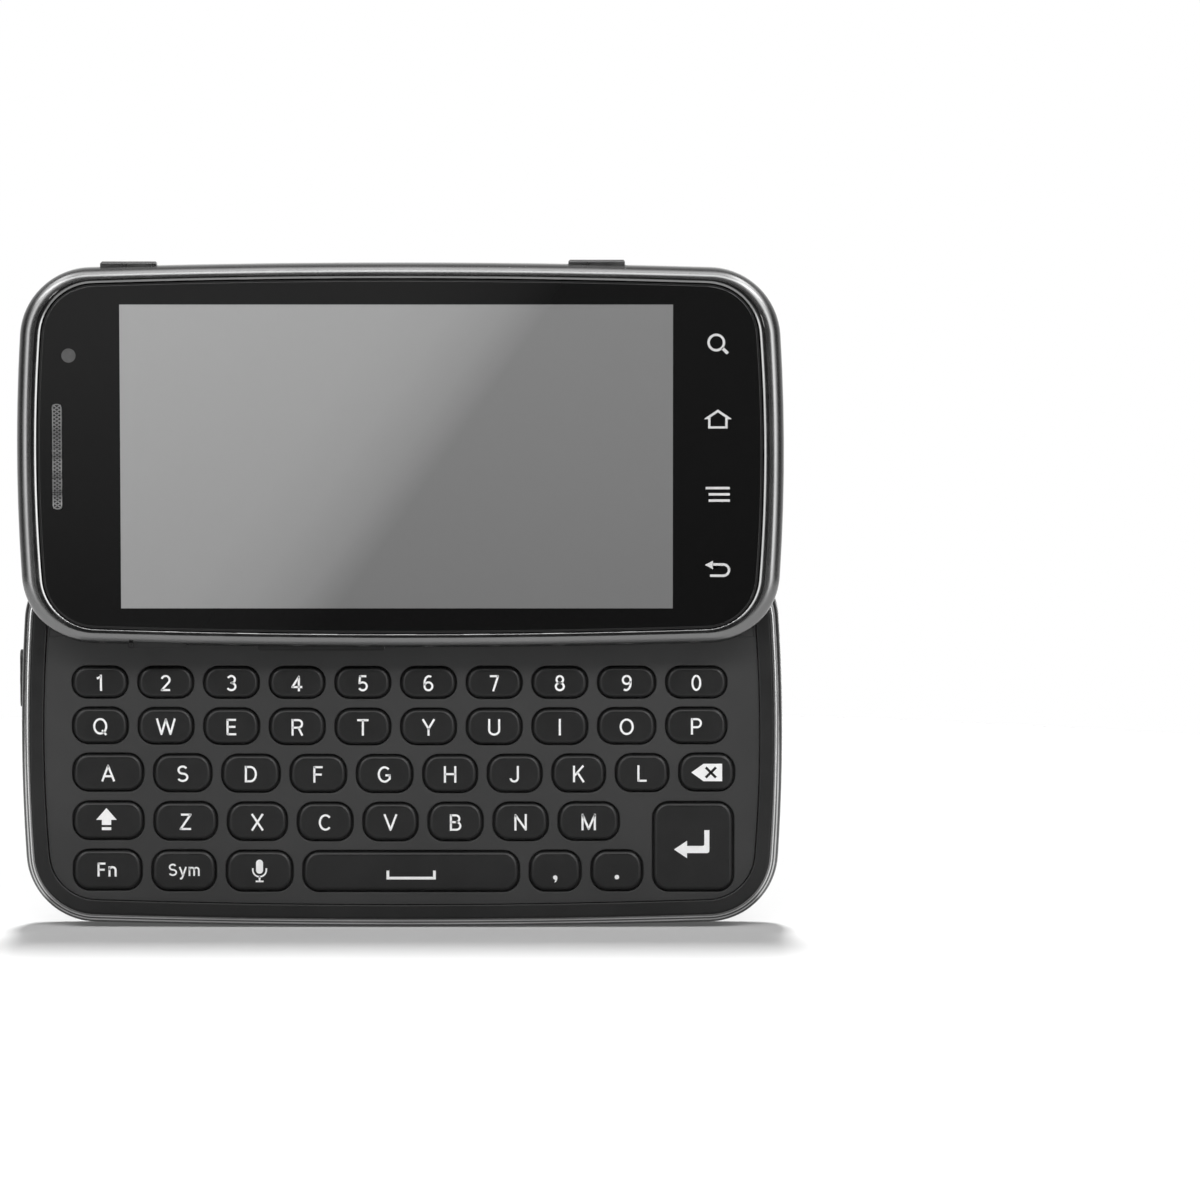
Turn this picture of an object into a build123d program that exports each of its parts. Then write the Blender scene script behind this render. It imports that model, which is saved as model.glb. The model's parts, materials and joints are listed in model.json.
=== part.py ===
from build123d import *
import math
import os

# A phone in two halves: a screen half that slides up off a keyboard half.
# The halves are modelled lying on their backs, each centred on X = Y = 0: X runs along the
# phone, Y across it and Z from the back cover up to the screen. Each piece is turned upright as
# it is stored, with the screen facing -Y, and the screen half is stored slid open.
# All sizes are in millimetres.

# ---------------------------------------------------------------- outline of both halves
length = 126.5
width = 63.6
corner_radius = 11.8
end_bulge = 1.5  # how far a short side bows out between its corners
side_bulge = 1.1  # how far a long side bows out between its corners
slide_travel = 47.3
base_thickness = 8.2
slider_thickness = 5.0
running_gap = 0.3  # between the halves
fit_gap = 0.05  # between pieces fixed to one another
seat_gap = 0.15  # round a part that drops into a hole in a board or a casting
moving_gap = 0.12  # round a piece that moves in its opening

# ---------------------------------------------------------------- keyboard half
cover_wall = 0.9
cover_height = 3.05
cover_edge_radius = 2.6
trim_height = 0.5
trim_proud = 0.12  # how far the bright ring stands out of the cover and the frame
frame_wall = 1.5
frame_drop = 0.15  # from the keyboard rim's face down to the frame's
frame_edge_radius = 1.2
rim_width = 2.25
rim_edge_radius = 0.25
deck_drop = 0.5  # from the keyboard rim's face down to the deck
deck_thickness = 0.8
deck_skirt = 0.5
deck_lip_radius = 0.18  # round the key openings
key_drop = 0.1  # from the keyboard rim's face down to the key caps
key_gap = 1.45  # between the openings of neighbouring keys
key_clearance = 0.22  # round a cap in its opening
key_corner_radius = 2.8  # of an opening, or less in a low row
key_edge_radius = 0.7
key_flange = 0.35  # thickness of the flange that keeps a key in
key_flange_reach = 0.25
key_play = 0.15  # between flange and deck
key_travel = 0.2
press_margin = 0.05  # left between a pressed button and what it presses
stem_height = 0.25
stem_radius = 1.2
stamped_edge_radius = 0.3  # of the small cans and capsules
part_corner_radius = 0.8  # of the square-cornered parts inside
dome_radius = 2.1
dome_height = 0.2
dome_sheet_thickness = 0.1
keypad_board_thickness = 0.5
mid_plate_thickness = 0.4
board_thickness = 0.8
bay_floor = 1.0  # the rear chassis under its boards

keyboard_left_margin = 8.5
upper_row_margin = 9.2  # right of the digits and of the top letter row
middle_row_margin = 7.9
enter_margin = 8.05
enter_width = 13.65
lower_row_gap = 5.35  # between the lower letter row and the enter key
keyboard_top_margin = 3.5  # below the open screen half's edge
keyboard_bottom_margin = 2.0

main_board_margin = 5.2  # from the top end to the main board
main_board_length = 38.0
sub_board_margin = 5.7
sub_board_length = 13.4
board_side_margin = 5.3
bay_wall = 1.6  # between the battery bay and a board bay
battery_side_margin = 8.0
battery_clearance = 0.5
battery_thickness = 3.5
battery_edge_radius = 0.4
contact_overlap = 1.2  # of the battery contacts onto the main board
contact_reach = 0.2  # past the bay's end, into the battery's clearance
contact_width = 10.0
contact_height = 1.4
contact_count = 4
blade_width = 1.0
blade_inset = 0.4  # from the contact block's top and bottom
blade_length = 0.5  # in front of the block, up to the bay

card_lift = 0.3  # from the back of the chassis to the card sockets
card_floor = 0.35  # of a card socket, under its slot
card_side_wall = 0.6
card_end_wall = 1.0
sim_slot = 0.8
memory_slot = 0.75
can_height = 1.2
parts_gap = 1.0  # between the parts under the main board
parts_edge_margin = 2.0  # from the board's long sides to its parts
parts_end_margin = 4.0
card_clearance = 0.3  # round a card socket in the chassis
loose_clearance = 0.2  # round the loudspeaker and the contacts in the chassis
motor_radius = 4.0
motor_offset = 6.0  # from the middle towards the near long side
microphone_length = 3.8
microphone_width = 3.0
microphone_height = 1.1
microphone_margin = 3.0  # from the sub board's end
microphone_offset = 17.5
microphone_port_radius = 0.4
microphone_port_depth = 0.4

jack_radius = 1.78
jack_wall = 0.5
jack_depth = 14.2
jack_from_side = 22.3  # from the far long side to the jack's axis
jack_flange_width = 9.4
jack_flange_height = 4.0
jack_flange_depth = 1.0
jack_proud = 0.2

island_from_end = 22.0
island_length = 22.2
island_width = 14.4
island_radius = 2.6
island_recess = 0.1
window_recess = 0.2  # of the camera window, from the trim ring's face
window_thickness = 0.5
camera_from_end = 18.0
trim_outer = 12.0
trim_inner = 10.0
trim_radius = 3.0
trim_edge_radius = 0.25
lens_radius = 2.2
lens_depth = 0.4
barrel_radius = 3.2
camera_size = 8.6
camera_seat = 0.2  # from the back of the chassis to the camera's housing
flash_from_end = 28.4
flash_size = 4.9
flash_radius = 0.6
flash_seat = 0.3  # from the flash window up to the back of the chassis
led_size = 3.2
led_bowl_radius = 1.12
led_bowl_rim = 0.15

speaker_from_end = 13.3
speaker_offset = 11.9
sound_slot_length = 9.4
sound_slot_width = 1.4
sound_slot_pitch = 2.8
speaker_length = 11.0
speaker_width = 14.0
speaker_height = 2.7
speaker_corner_radius = 1.5
speaker_mesh_margin = 0.5  # past the ends of the sound slots
speaker_mesh_side_margin = 0.4
notch_width = 2.1
notch_length = 1.7
notch_from_end = 1.2
notch_offset = 11.1
screw_head_radius = 1.6
screw_head_height = 0.8
screw_radius = 0.75
screw_seat = 0.3  # from the back of the chassis to the screw heads
screw_cross_reach = 0.96
screw_cross_width = 0.375
screw_cross_depth = 0.3
screw_margin = 4.6

# ---------------------------------------------------------------- slide
rail_margin = 13.25  # from a short side to the middle of its slot
slot_width = 2.0
shoe_width = 1.6
shoe_head_width = 3.6
shoe_head_height = 0.35
shoe_lift = 0.15  # between the back plate and a shoe's head
shoe_low_margin = 3.5  # from the open screen half's edge to a shoe
shoe_high_margin = 5.5  # from the keyboard half's edge to a shoe
slide_plate_thickness = 0.6
slide_zone_margin = 4.4  # from the top key row to the deck's solid bed
slide_plate_margin = 0.4  # from there to the slide plate's edge
slide_plate_inset = 0.35  # from the deck's edge
stop_gap = 0.2  # between a shoe and its slot's end when it is slid home
spring_pin_inset = 4.0  # from the middle of a slot in to its spring's moving pin
spring_reach = 23.0  # along the phone, between a spring's two pins
spring_pin_radius = 0.6
spring_eye_clearance = 0.25
spring_wire = 0.6
spring_coil_radius = 2.4
spring_thickness = 0.4
spring_lift = 0.1  # between a shoe's head and the spring that passes over it
spring_ear_thickness = 0.2

# ---------------------------------------------------------------- screen half
glass_thickness = 1.0
glass_end_inset = 3.75
glass_side_inset = 2.8
glass_edge_radius = 0.15
glass_proud = 0.1  # above the bezel
bezel_proud = 0.1  # above the slider frame
bezel_height = 1.0
bezel_gap = 0.2  # round the glass
bezel_chamfer = 0.3
slider_end_wall = 2.4
slider_side_wall = 1.7
slider_front_radius = 2.0
slider_back_radius = 1.6
back_plate_thickness = 0.5
chassis_plate = 0.5
chassis_wall = 1.3
slide_cavity = 1.1  # between the back plate and the slider chassis
display_left_margin = 12.0  # from the glass's earpiece end to the display panel
display_right_margin = 13.2
display_side_margin = 3.1
earpiece_margin = 3.0  # from the glass's end to the middle of the slot
earpiece_length = 17.6
earpiece_width = 1.7
earpiece_speaker_width = 4.6
earpiece_speaker_length = 15.0
earpiece_speaker_radius = 1.2
earpiece_recess = 0.2  # from the glass's face down to the mesh
front_camera_margin = 5.0
front_camera_offset = 16.7
front_camera_radius = 2.3
front_lens_radius = 0.8
front_lens_flare = 0.3  # how much wider the lens cup is at its mouth
front_lens_depth = 0.4
touch_key_margin = 7.2  # from the glass's other end to the touch keys' middle
touch_key_pitch = 12.4
touch_guide_size = 4.6
touch_guide_radius = 0.5
touch_board_width = 5.6
touch_board_thickness = 0.5

side_key_height = 2.0
side_key_length = 9.3
side_key_proud = 0.8
side_key_edge = 0.25
side_key_depth = 1.05  # of the opening's outer part
side_flange = 0.4
side_flange_reach = 0.4
side_travel = 0.3
power_from_end = 18.6
camera_key_from_end = 95.6
switch_depth = 1.0
switch_tip = 0.5
switch_size = 4.0
saddle_width = 3.0
rocker_from_end = 50.05
rocker_length = 20.9
rocker_proud = 0.55
rocker_tilt = 1.3  # degrees each way
rocker_rib_radius = 0.5
rocker_switch_offset = 7.0
door_from_end = 23.0
door_length = 9.8
door_height = 3.2
door_thickness = 1.1
door_proud = 0.5
door_pivot_radius = 0.35
door_pivot_reach = 0.6
socket_width = 7.6
socket_height = 2.6
socket_wall = 0.3
socket_depth = 4.2
tongue_height = 0.7
tongue_margin = 0.8  # from the socket's mouth and its sides

# ---------------------------------------------------------------- heights that follow
half_length = length / 2
half_width = width / 2
jack_offset = half_width - jack_from_side
rim_face = base_thickness
deck_face = rim_face - deck_drop
deck_back = deck_face - deck_thickness
key_face = rim_face - key_drop
flange_top = deck_back - key_play
flange_back = flange_top - key_flange
stem_end = flange_back - stem_height
dome_top = stem_end - key_travel - press_margin
sheet_top = dome_top - dome_height
keypad_board_top = sheet_top - dome_sheet_thickness
mid_plate_top = keypad_board_top - keypad_board_thickness
mid_plate_back = mid_plate_top - mid_plate_thickness
board_top = mid_plate_back - fit_gap
board_back = board_top - board_thickness
chassis_back = cover_wall + fit_gap * 2
trim_low = cover_height + fit_gap
trim_high = trim_low + trim_height
rim_outset = frame_wall + fit_gap
rim_inset = rim_outset + rim_width
deck_inset = rim_inset + fit_gap * 2

slider_back = base_thickness + running_gap
plate_top = slider_back + back_plate_thickness
chassis_low = plate_top + slide_cavity
chassis_top = chassis_low + chassis_plate
glass_face = slider_back + slider_thickness
glass_back = glass_face - glass_thickness
bezel_face = glass_face - glass_proud
bezel_back = bezel_face - bezel_height
slider_face = bezel_face - bezel_proud
panel_low = chassis_top + fit_gap
panel_high = glass_back - fit_gap
slide_plate_top = deck_face
slide_plate_back = slide_plate_top - slide_plate_thickness
shoe_head_low = plate_top + shoe_lift
shoe_head_high = shoe_head_low + shoe_head_height
key_level = (slider_back + slider_face) / 2  # of the side keys and the socket

keyboard_top = -half_width + slide_travel - keyboard_top_margin
keyboard_bottom = -half_width + deck_inset + keyboard_bottom_margin
enter_left = half_length - enter_margin - enter_width
slide_zone = keyboard_top + slide_zone_margin
rail_x = half_length - rail_margin
shoe_low = -half_width + slide_travel + shoe_low_margin
shoe_high = half_width - shoe_high_margin
spring_x = rail_x - spring_pin_inset - spring_reach
moving_pin_y = (shoe_low + shoe_high) / 2
spring_y = moving_pin_y - slide_travel / 2  # on the screen half
spring_low = shoe_head_high + spring_lift
spring_eye_radius = spring_pin_radius + spring_eye_clearance + spring_wire
half_key_height = side_key_height / 2
tilt_slope = math.sin(math.radians(rocker_tilt))
rocker_gap = (rocker_length / 2 + side_flange_reach) * tilt_slope + press_margin
rocker_switch_gap = rocker_switch_offset * tilt_slope + press_margin

board_left = -half_length + main_board_margin
board_right = board_left + main_board_length
sub_right = half_length - sub_board_margin
sub_left = sub_right - sub_board_length
bay_left = board_right + bay_wall
bay_right = sub_left - bay_wall
jack_level = chassis_back + jack_radius + jack_wall
camera_x = -half_length + camera_from_end
camera_hole = camera_size / 2 + seat_gap
island_x = -half_length + island_from_end
flash_x = -half_length + flash_from_end
speaker_x = half_length - speaker_from_end
speaker_low = board_back - speaker_height


# ---------------------------------------------------------------- shared shapes
def outline(end_inset, side_inset):
    """The phone's outline, drawn in from its short ends and its long sides."""
    reach_x, reach_y = half_length - end_inset, half_width - side_inset
    corner_x, corner_y = reach_x - end_bulge, reach_y - side_bulge
    sides = Curve() + [
        ThreePointArc((-corner_x, -corner_y), (0, -reach_y), (corner_x, -corner_y)),
        ThreePointArc((corner_x, -corner_y), (reach_x, 0), (corner_x, corner_y)),
        ThreePointArc((corner_x, corner_y), (0, reach_y), (-corner_x, corner_y)),
        ThreePointArc((-corner_x, corner_y), (-reach_x, 0), (-corner_x, -corner_y)),
    ]
    face = make_face(sides)
    return fillet(face.vertices(), corner_radius - (end_inset + side_inset) / 2)


def slab(end_inset, side_inset, low, high):
    return Pos(0, 0, low) * extrude(outline(end_inset, side_inset), high - low, dir=(0, 0, 1))


def ring(outer, inner, low, high):
    """A wall between two outlines, each given as its end inset and side inset."""
    return slab(*outer, low, high) - slab(*inner, low - 1, high + 1)


def block(x_span, y_span, z_span):
    spans = (x_span, y_span, z_span)
    middle = [(low + high) / 2 for low, high in spans]
    return Pos(*middle) * Box(*[high - low for low, high in spans])


def pad(x, y, size_x, size_y, radius, low, high):
    """A plate with rounded corners, centred on x and y."""
    return extrude(Pos(x, y, low) * RectangleRounded(size_x, size_y, radius), high - low, dir=(0, 0, 1))


def disc(x, y, radius, low, high):
    return Pos(x, y, (low + high) / 2) * Cylinder(radius, high - low)


def edges_at(solid, height):
    """The edges that lie flat at one height."""
    return solid.edges().filter_by_position(Axis.Z, height - 0.01, height + 0.01)


def wall_y(x):
    """How far a long side stands from the phone's middle line, at x."""
    corner_x = half_length - end_bulge
    arc_radius = (corner_x**2 + side_bulge**2) / (2 * side_bulge)
    return half_width - arc_radius + math.sqrt(arc_radius**2 - x**2)


# ---------------------------------------------------------------- keys
# Each row: nominal height, right end, how far its ends rise above its middle, and its keys from
# left to right as the node each belongs to and its nominal width. Heights and widths are fitted
# to the room between the rim, the enter key and the open screen half.
upper_row_right = half_length - upper_row_margin
middle_row_right = half_length - middle_row_margin
upper_widths = [9.4] * 8 + [9.8, 10.3]
keyboard_rows = [
    (5.6, upper_row_right, 0.1, [("digit_keys", key_width) for key_width in upper_widths]),
    (6.35, upper_row_right, 0.3, [("top_letter_keys", key_width) for key_width in upper_widths]),
    (6.6, middle_row_right, 0.4,
     [("middle_letter_keys", key_width) for key_width in (12.0, 9.9, 9.9, 9.6, 9.6, 9.3, 9.3, 9.1, 9.1)]
     + [("backspace_key", 9.5)]),
    (6.7, enter_left - lower_row_gap, 0.4,
     [("shift_key", 11.9)]
     + [("lower_letter_keys", key_width) for key_width in (10.7, 10.1, 9.4, 9.3, 9.3, 9.3, 10.3)]),
    (7.1, enter_left - key_gap, 0.4,
     [("function_key", 11.6), ("symbol_key", 10.9), ("voice_key", 11.3), ("space_key", 36.2),
      ("comma_key", 8.8), ("period_key", 8.8)]),
]


def key_openings():
    """Each key's opening in the deck, as (x, y, width, height), listed under its node."""
    openings = {}
    left = -half_length + keyboard_left_margin
    room = keyboard_top - keyboard_bottom - key_gap * (len(keyboard_rows) - 1)
    height_scale = room / sum(row[0] for row in keyboard_rows)
    top = keyboard_top
    for nominal_height, right, end_rise, keys in keyboard_rows:
        height = nominal_height * height_scale
        width_scale = (right - left - key_gap * (len(keys) - 1)) / sum(size for _, size in keys)
        x = left
        for node, nominal_width in keys:
            key_width = nominal_width * width_scale
            middle_x = x + key_width / 2
            rise = end_rise * (middle_x / half_length) ** 2
            openings.setdefault(node, []).append((middle_x, top - height / 2 + rise, key_width, height))
            x += key_width + key_gap
        top -= height + key_gap
    _, letters_y, _, letters_height = openings["lower_letter_keys"][0]
    _, comma_y, _, comma_height = openings["comma_key"][0]
    enter_top = letters_y + letters_height / 2
    enter_bottom = comma_y - comma_height / 2
    openings["enter_key"] = [
        (enter_left + enter_width / 2, (enter_top + enter_bottom) / 2, enter_width, enter_top - enter_bottom)
    ]
    return openings


def opening_radius(opening_width, opening_height):
    return min(key_corner_radius, 0.46 * min(opening_width, opening_height))


def key(x, y, opening_width, opening_height):
    """A cap with a crowned edge, the flange that keeps it in and the stem that presses its dome."""
    radius = opening_radius(opening_width, opening_height)
    cap_width = opening_width - key_clearance * 2
    cap_height = opening_height - key_clearance * 2
    cap = pad(x, y, cap_width, cap_height, radius - key_clearance, flange_top, key_face)
    cap = fillet(edges_at(cap, key_face), key_edge_radius)
    flange = pad(x, y, opening_width + key_flange_reach * 2, opening_height + key_flange_reach * 2,
                 radius + key_flange_reach, flange_back, flange_top)
    return cap + flange + disc(x, y, stem_radius, stem_end, flange_back)


# ---------------------------------------------------------------- pieces of the keyboard half
def jack_room():
    """Room for the headset jack's barrel, from the top end inwards."""
    radius = jack_radius + jack_wall + fit_gap
    start = -half_length - 1
    end = -half_length - jack_proud + jack_depth + jack_wall + fit_gap
    middle = (start + end) / 2
    return Pos(middle, jack_offset, jack_level) * Rot(0, 90, 0) * Cylinder(radius, end - start)


def jack_flange(clearance):
    """The jack's mouth piece or, with a clearance, the room for it."""
    size_y = jack_flange_width + clearance * 2
    size_z = jack_flange_height + clearance * 2
    plate = extrude(Plane.YZ * RectangleRounded(size_y, size_z, size_z / 3), jack_flange_depth + clearance)
    return Pos(-half_length - jack_proud, jack_offset, jack_level) * plate


def headset_jack():
    barrel_end = -half_length - jack_proud + jack_depth + jack_wall
    barrel_start = -half_length - jack_proud
    barrel = (Pos((barrel_start + barrel_end) / 2, jack_offset, jack_level) * Rot(0, 90, 0)
              * Cylinder(jack_radius + jack_wall, barrel_end - barrel_start))
    bore = (Pos(barrel_start + jack_depth / 2, jack_offset, jack_level) * Rot(0, 90, 0)
            * Cylinder(jack_radius, jack_depth))
    return jack_flange(0) + barrel - bore


def battery_cover():
    shell = slab(trim_proud, trim_proud, 0, cover_height)
    shell = fillet(edges_at(shell, 0), cover_edge_radius)
    inner_radius = cover_edge_radius - cover_wall
    hollow = slab(trim_proud + cover_wall, trim_proud + cover_wall, cover_wall, cover_height + 1)
    shell -= fillet(edges_at(hollow, cover_wall), inner_radius)
    shell -= pad(island_x, 0, island_length + moving_gap * 2, island_width + moving_gap * 2,
                 island_radius + moving_gap, -1, cover_wall + 1)
    for side in (-1, 1):
        shell -= extrude(
            Pos(speaker_x + side * sound_slot_pitch / 2, speaker_offset, -1)
            * SlotOverall(sound_slot_length, sound_slot_width, rotation=90),
            cover_wall + 2, dir=(0, 0, 1))
    notch_x = half_length - notch_from_end - notch_length / 2
    shell -= pad(notch_x, -notch_offset, notch_length, notch_width, notch_length / 3, -1, cover_wall + 1)
    mouth = jack_flange(moving_gap)
    mouth += block((-half_length - 1, -half_length + jack_flange_depth + moving_gap),
                   (jack_offset - jack_flange_width / 2 - moving_gap,
                    jack_offset + jack_flange_width / 2 + moving_gap),
                   (jack_level, cover_height + 1))
    return shell - mouth - jack_room()


def base_trim_ring():
    inner = frame_wall
    return ring((0, 0), (inner, inner), trim_low, trim_high) - jack_flange(fit_gap) - jack_room()


def base_frame():
    top = rim_face - frame_drop
    body = slab(trim_proud, trim_proud, trim_high, top)
    body = fillet(edges_at(body, top), frame_edge_radius)
    body -= slab(frame_wall, frame_wall, trim_high - 1, top + 1)
    return body - jack_flange(fit_gap) - jack_room()


def keyboard_rim():
    body = ring((rim_outset, rim_outset), (rim_inset, rim_inset), mid_plate_top, rim_face)
    body = fillet(edges_at(body, rim_face), rim_edge_radius)
    return body - jack_room()


def keyboard_deck():
    openings = Sketch() + [
        Pos(x, y) * RectangleRounded(size_x, size_y, opening_radius(size_x, size_y))
        for group in key_openings().values() for x, y, size_x, size_y in group
    ]
    body = slab(deck_inset, deck_inset, deck_back, deck_face)
    body -= Pos(0, 0, deck_back - 1) * extrude(openings, deck_thickness + 2, dir=(0, 0, 1))
    lips = [edge for wire in body.faces().sort_by(Axis.Z)[-1].inner_wires() for edge in wire.edges()]
    body = fillet(lips, deck_lip_radius)
    skirt_inset = deck_inset + deck_skirt
    body += ring((deck_inset, deck_inset), (skirt_inset, skirt_inset), mid_plate_top, deck_back)
    slide_bed = block((-half_length, half_length), (slide_zone, half_width), (mid_plate_top, deck_back))
    body += slide_bed & slab(deck_inset, deck_inset, mid_plate_top, deck_back)
    return body - slide_plate_blank(0, slide_plate_back, deck_face + 1) - jack_room()


def keypad_area(extra_inset, low, high):
    """The room inside the deck's skirt and below the slide zone."""
    inset = deck_inset + deck_skirt + extra_inset
    below = block((-half_length, half_length), (-half_width, slide_zone - extra_inset), (low, high))
    return slab(inset, inset, low, high) & below


def dome_sheet():
    body = keypad_area(fit_gap * 4, keypad_board_top, sheet_top)
    dome = fillet(edges_at(disc(0, 0, dome_radius, sheet_top, dome_top), dome_top), dome_height * 0.8)
    for group in key_openings().values():
        for x, y, _, _ in group:
            body += Pos(x, y, 0) * dome
    return body


def keypad_board():
    return keypad_area(fit_gap * 2, mid_plate_top, keypad_board_top) - jack_room()


def screw_places():
    xs = (bay_left + screw_margin, (bay_left + bay_right) / 2, bay_right - screw_margin)
    return [(x, side * (wall_y(x) - screw_margin)) for x in xs for side in (-1, 1)]


def mid_plate():
    body = slab(rim_outset, rim_outset, mid_plate_back, mid_plate_top)
    for x, y in screw_places():
        body -= disc(x, y, screw_radius + fit_gap, mid_plate_back - 1, mid_plate_top + 1)
    return body - jack_room()


def case_screws():
    head_low = chassis_back + screw_seat
    head_high = head_low + screw_head_height
    body = Part()
    for x, y in screw_places():
        screw = disc(x, y, screw_head_radius, head_low, head_high)
        for reach_x, reach_y in ((screw_cross_reach, screw_cross_width / 2),
                                 (screw_cross_width / 2, screw_cross_reach)):
            screw -= block((x - reach_x, x + reach_x), (y - reach_y, y + reach_y),
                           (head_low - 1, head_low + screw_cross_depth))
        body += screw + disc(x, y, screw_radius, head_high, mid_plate_top)
    return body


def main_board_area(clearance, low, high):
    reach = half_width - board_side_margin + clearance
    inset = rim_inset - clearance
    return (block((board_left - clearance, board_right + clearance), (-reach, reach), (low, high))
            & slab(inset, inset, low, high))


def sub_board_area(clearance, low, high):
    reach = half_width - board_side_margin + clearance
    inset = rim_inset - clearance
    return (block((sub_left - clearance, sub_right + clearance), (-reach, reach), (low, high))
            & slab(inset, inset, low, high))


def main_board():
    body = main_board_area(0, board_back, board_top) - jack_room()
    return body - block((camera_x - camera_hole, camera_x + camera_hole), (-camera_hole, camera_hole),
                        (board_back - 1, board_top + 1))


def board_blocks():
    """Where the parts under the main board sit: (x span, y span, lowest height)."""
    edge = half_width - board_side_margin - parts_edge_margin
    inner_y = island_width / 2 + parts_gap
    middle_x = (board_left + board_right) / 2
    start = board_left + parts_end_margin
    end = board_right - parts_gap
    card_low = chassis_back + card_lift
    can_low = board_back - can_height
    beside_jack = jack_offset + jack_radius + jack_wall + parts_gap
    return {
        "sim": ((middle_x + parts_gap, end), (-edge, -inner_y), card_low),
        "memory": ((start, middle_x - parts_gap), (-edge, -inner_y), card_low),
        "processor": ((middle_x - parts_gap, end), (inner_y, edge), can_low),
        "radio": ((start, middle_x - parts_gap * 2), (beside_jack, edge), can_low),
    }


def card_socket(name, slot_thickness):
    """A card socket, with the slot that its card slides into from the battery side."""
    (x_low, x_high), (y_low, y_high), low = board_blocks()[name]
    body = block((x_low, x_high), (y_low, y_high), (low, board_back))
    slot_low = low + card_floor
    return body - block((x_low + card_end_wall, x_high + 1), (y_low + card_side_wall, y_high - card_side_wall),
                        (slot_low, slot_low + slot_thickness))


def shield_cans():
    body = Part()
    for name in ("processor", "radio"):
        x_span, y_span, low = board_blocks()[name]
        can = block(x_span, y_span, (low, board_back))
        body += fillet(edges_at(can, low), stamped_edge_radius)
    return body


def rear_chassis():
    body = slab(rim_outset, rim_outset, chassis_back, mid_plate_back)
    body = fillet(edges_at(body, chassis_back), cover_edge_radius - cover_wall)
    bay_y = half_width - battery_side_margin + battery_clearance
    body -= block((bay_left, bay_right), (-bay_y, bay_y), (0, base_thickness))
    floor = chassis_back + bay_floor
    body -= main_board_area(fit_gap * 2, floor, mid_plate_back + 1)
    body -= sub_board_area(fit_gap * 2, floor, mid_plate_back + 1)
    for name in ("sim", "memory"):
        (x_low, x_high), (y_low, y_high), _ = board_blocks()[name]
        body -= block((x_low - card_clearance, x_high + card_clearance),
                      (y_low - card_clearance, y_high + card_clearance), (0, floor + 1))
    body -= block((camera_x - camera_hole, camera_x + camera_hole), (-camera_hole, camera_hole), (0, floor + 1))
    led_hole = led_size / 2 + seat_gap
    body -= block((flash_x - led_hole, flash_x + led_hole), (-led_hole, led_hole), (0, floor + 1))
    speaker_reach_x = speaker_length / 2 + loose_clearance
    speaker_reach_y = speaker_width / 2 + loose_clearance
    body -= block((speaker_x - speaker_reach_x, speaker_x + speaker_reach_x),
                  (speaker_offset - speaker_reach_y, speaker_offset + speaker_reach_y), (0, floor + 1))
    contact_reach_y = contact_width / 2 + loose_clearance
    body -= block((board_right - contact_overlap, bay_left + 1), (-contact_reach_y, contact_reach_y),
                  (floor, base_thickness))
    head_low = chassis_back + screw_seat
    for x, y in screw_places():
        body -= disc(x, y, screw_head_radius + fit_gap, 0, head_low + screw_head_height)
        body -= disc(x, y, screw_radius + fit_gap, 0, base_thickness)
    return body - jack_room() - jack_flange(fit_gap)


def battery():
    inset = battery_clearance / 2
    low = mid_plate_back - fit_gap * 2 - battery_thickness
    size_y = (half_width - battery_side_margin + inset) * 2
    size_x = bay_right - bay_left - inset * 2
    body = pad((bay_left + bay_right) / 2, 0, size_x, size_y, part_corner_radius, low, low + battery_thickness)
    return fillet(edges_at(body, low) + edges_at(body, low + battery_thickness), battery_edge_radius)


def battery_contacts():
    """Sprung blades that reach from the main board to the battery."""
    low = board_back - contact_height
    front = bay_left - blade_length
    body = block((board_right - contact_overlap, front), (-contact_width / 2, contact_width / 2),
                 (low, board_back))
    for place in range(contact_count):
        y = contact_width * ((place + 0.5) / contact_count - 0.5)
        body += block((front, bay_left + contact_reach), (y - blade_width / 2, y + blade_width / 2),
                      (low + blade_inset, board_back - blade_inset))
    return body


def sub_board():
    return sub_board_area(0, board_back, board_top)


def loudspeaker():
    body = pad(speaker_x, speaker_offset, speaker_length, speaker_width, speaker_corner_radius,
               speaker_low, board_back)
    return fillet(edges_at(body, speaker_low), stamped_edge_radius)


def loudspeaker_mesh():
    size_x = sound_slot_pitch + sound_slot_width + speaker_mesh_side_margin * 2
    size_y = sound_slot_length + speaker_mesh_margin * 2
    return pad(speaker_x, speaker_offset, size_x, size_y, part_corner_radius, cover_wall + fit_gap, speaker_low)


def vibration_motor():
    low = chassis_back + bay_floor + fit_gap
    body = disc((sub_left + sub_right) / 2, -motor_offset, motor_radius, low, board_back)
    return fillet(edges_at(body, low), stamped_edge_radius)


def microphone():
    x, y = sub_right - microphone_margin, -microphone_offset
    low = board_back - microphone_height
    body = block((x - microphone_length / 2, x + microphone_length / 2),
                 (y - microphone_width / 2, y + microphone_width / 2), (low, board_back))
    return body - disc(x, y, microphone_port_radius, low - 1, low + microphone_port_depth)


def camera_island():
    body = pad(island_x, 0, island_length, island_width, island_radius, island_recess, chassis_back)
    trim_hole = trim_outer + fit_gap * 2
    flash_hole = flash_size + fit_gap * 2
    body -= pad(camera_x, 0, trim_hole, trim_hole, trim_radius, -1, chassis_back + 1)
    return body - pad(flash_x, 0, flash_hole, flash_hole, flash_radius, -1, chassis_back + 1)


def camera_trim_ring():
    body = pad(camera_x, 0, trim_outer, trim_outer, trim_radius, 0, chassis_back)
    inner_radius = trim_radius - (trim_outer - trim_inner) / 2
    body -= pad(camera_x, 0, trim_inner, trim_inner, inner_radius, -1, chassis_back + 1)
    return fillet(edges_at(body, 0), trim_edge_radius)


def camera_window():
    size = trim_inner - fit_gap * 2
    return pad(camera_x, 0, size, size, trim_radius - (trim_outer - size) / 2,
               window_recess, window_recess + window_thickness)


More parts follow.
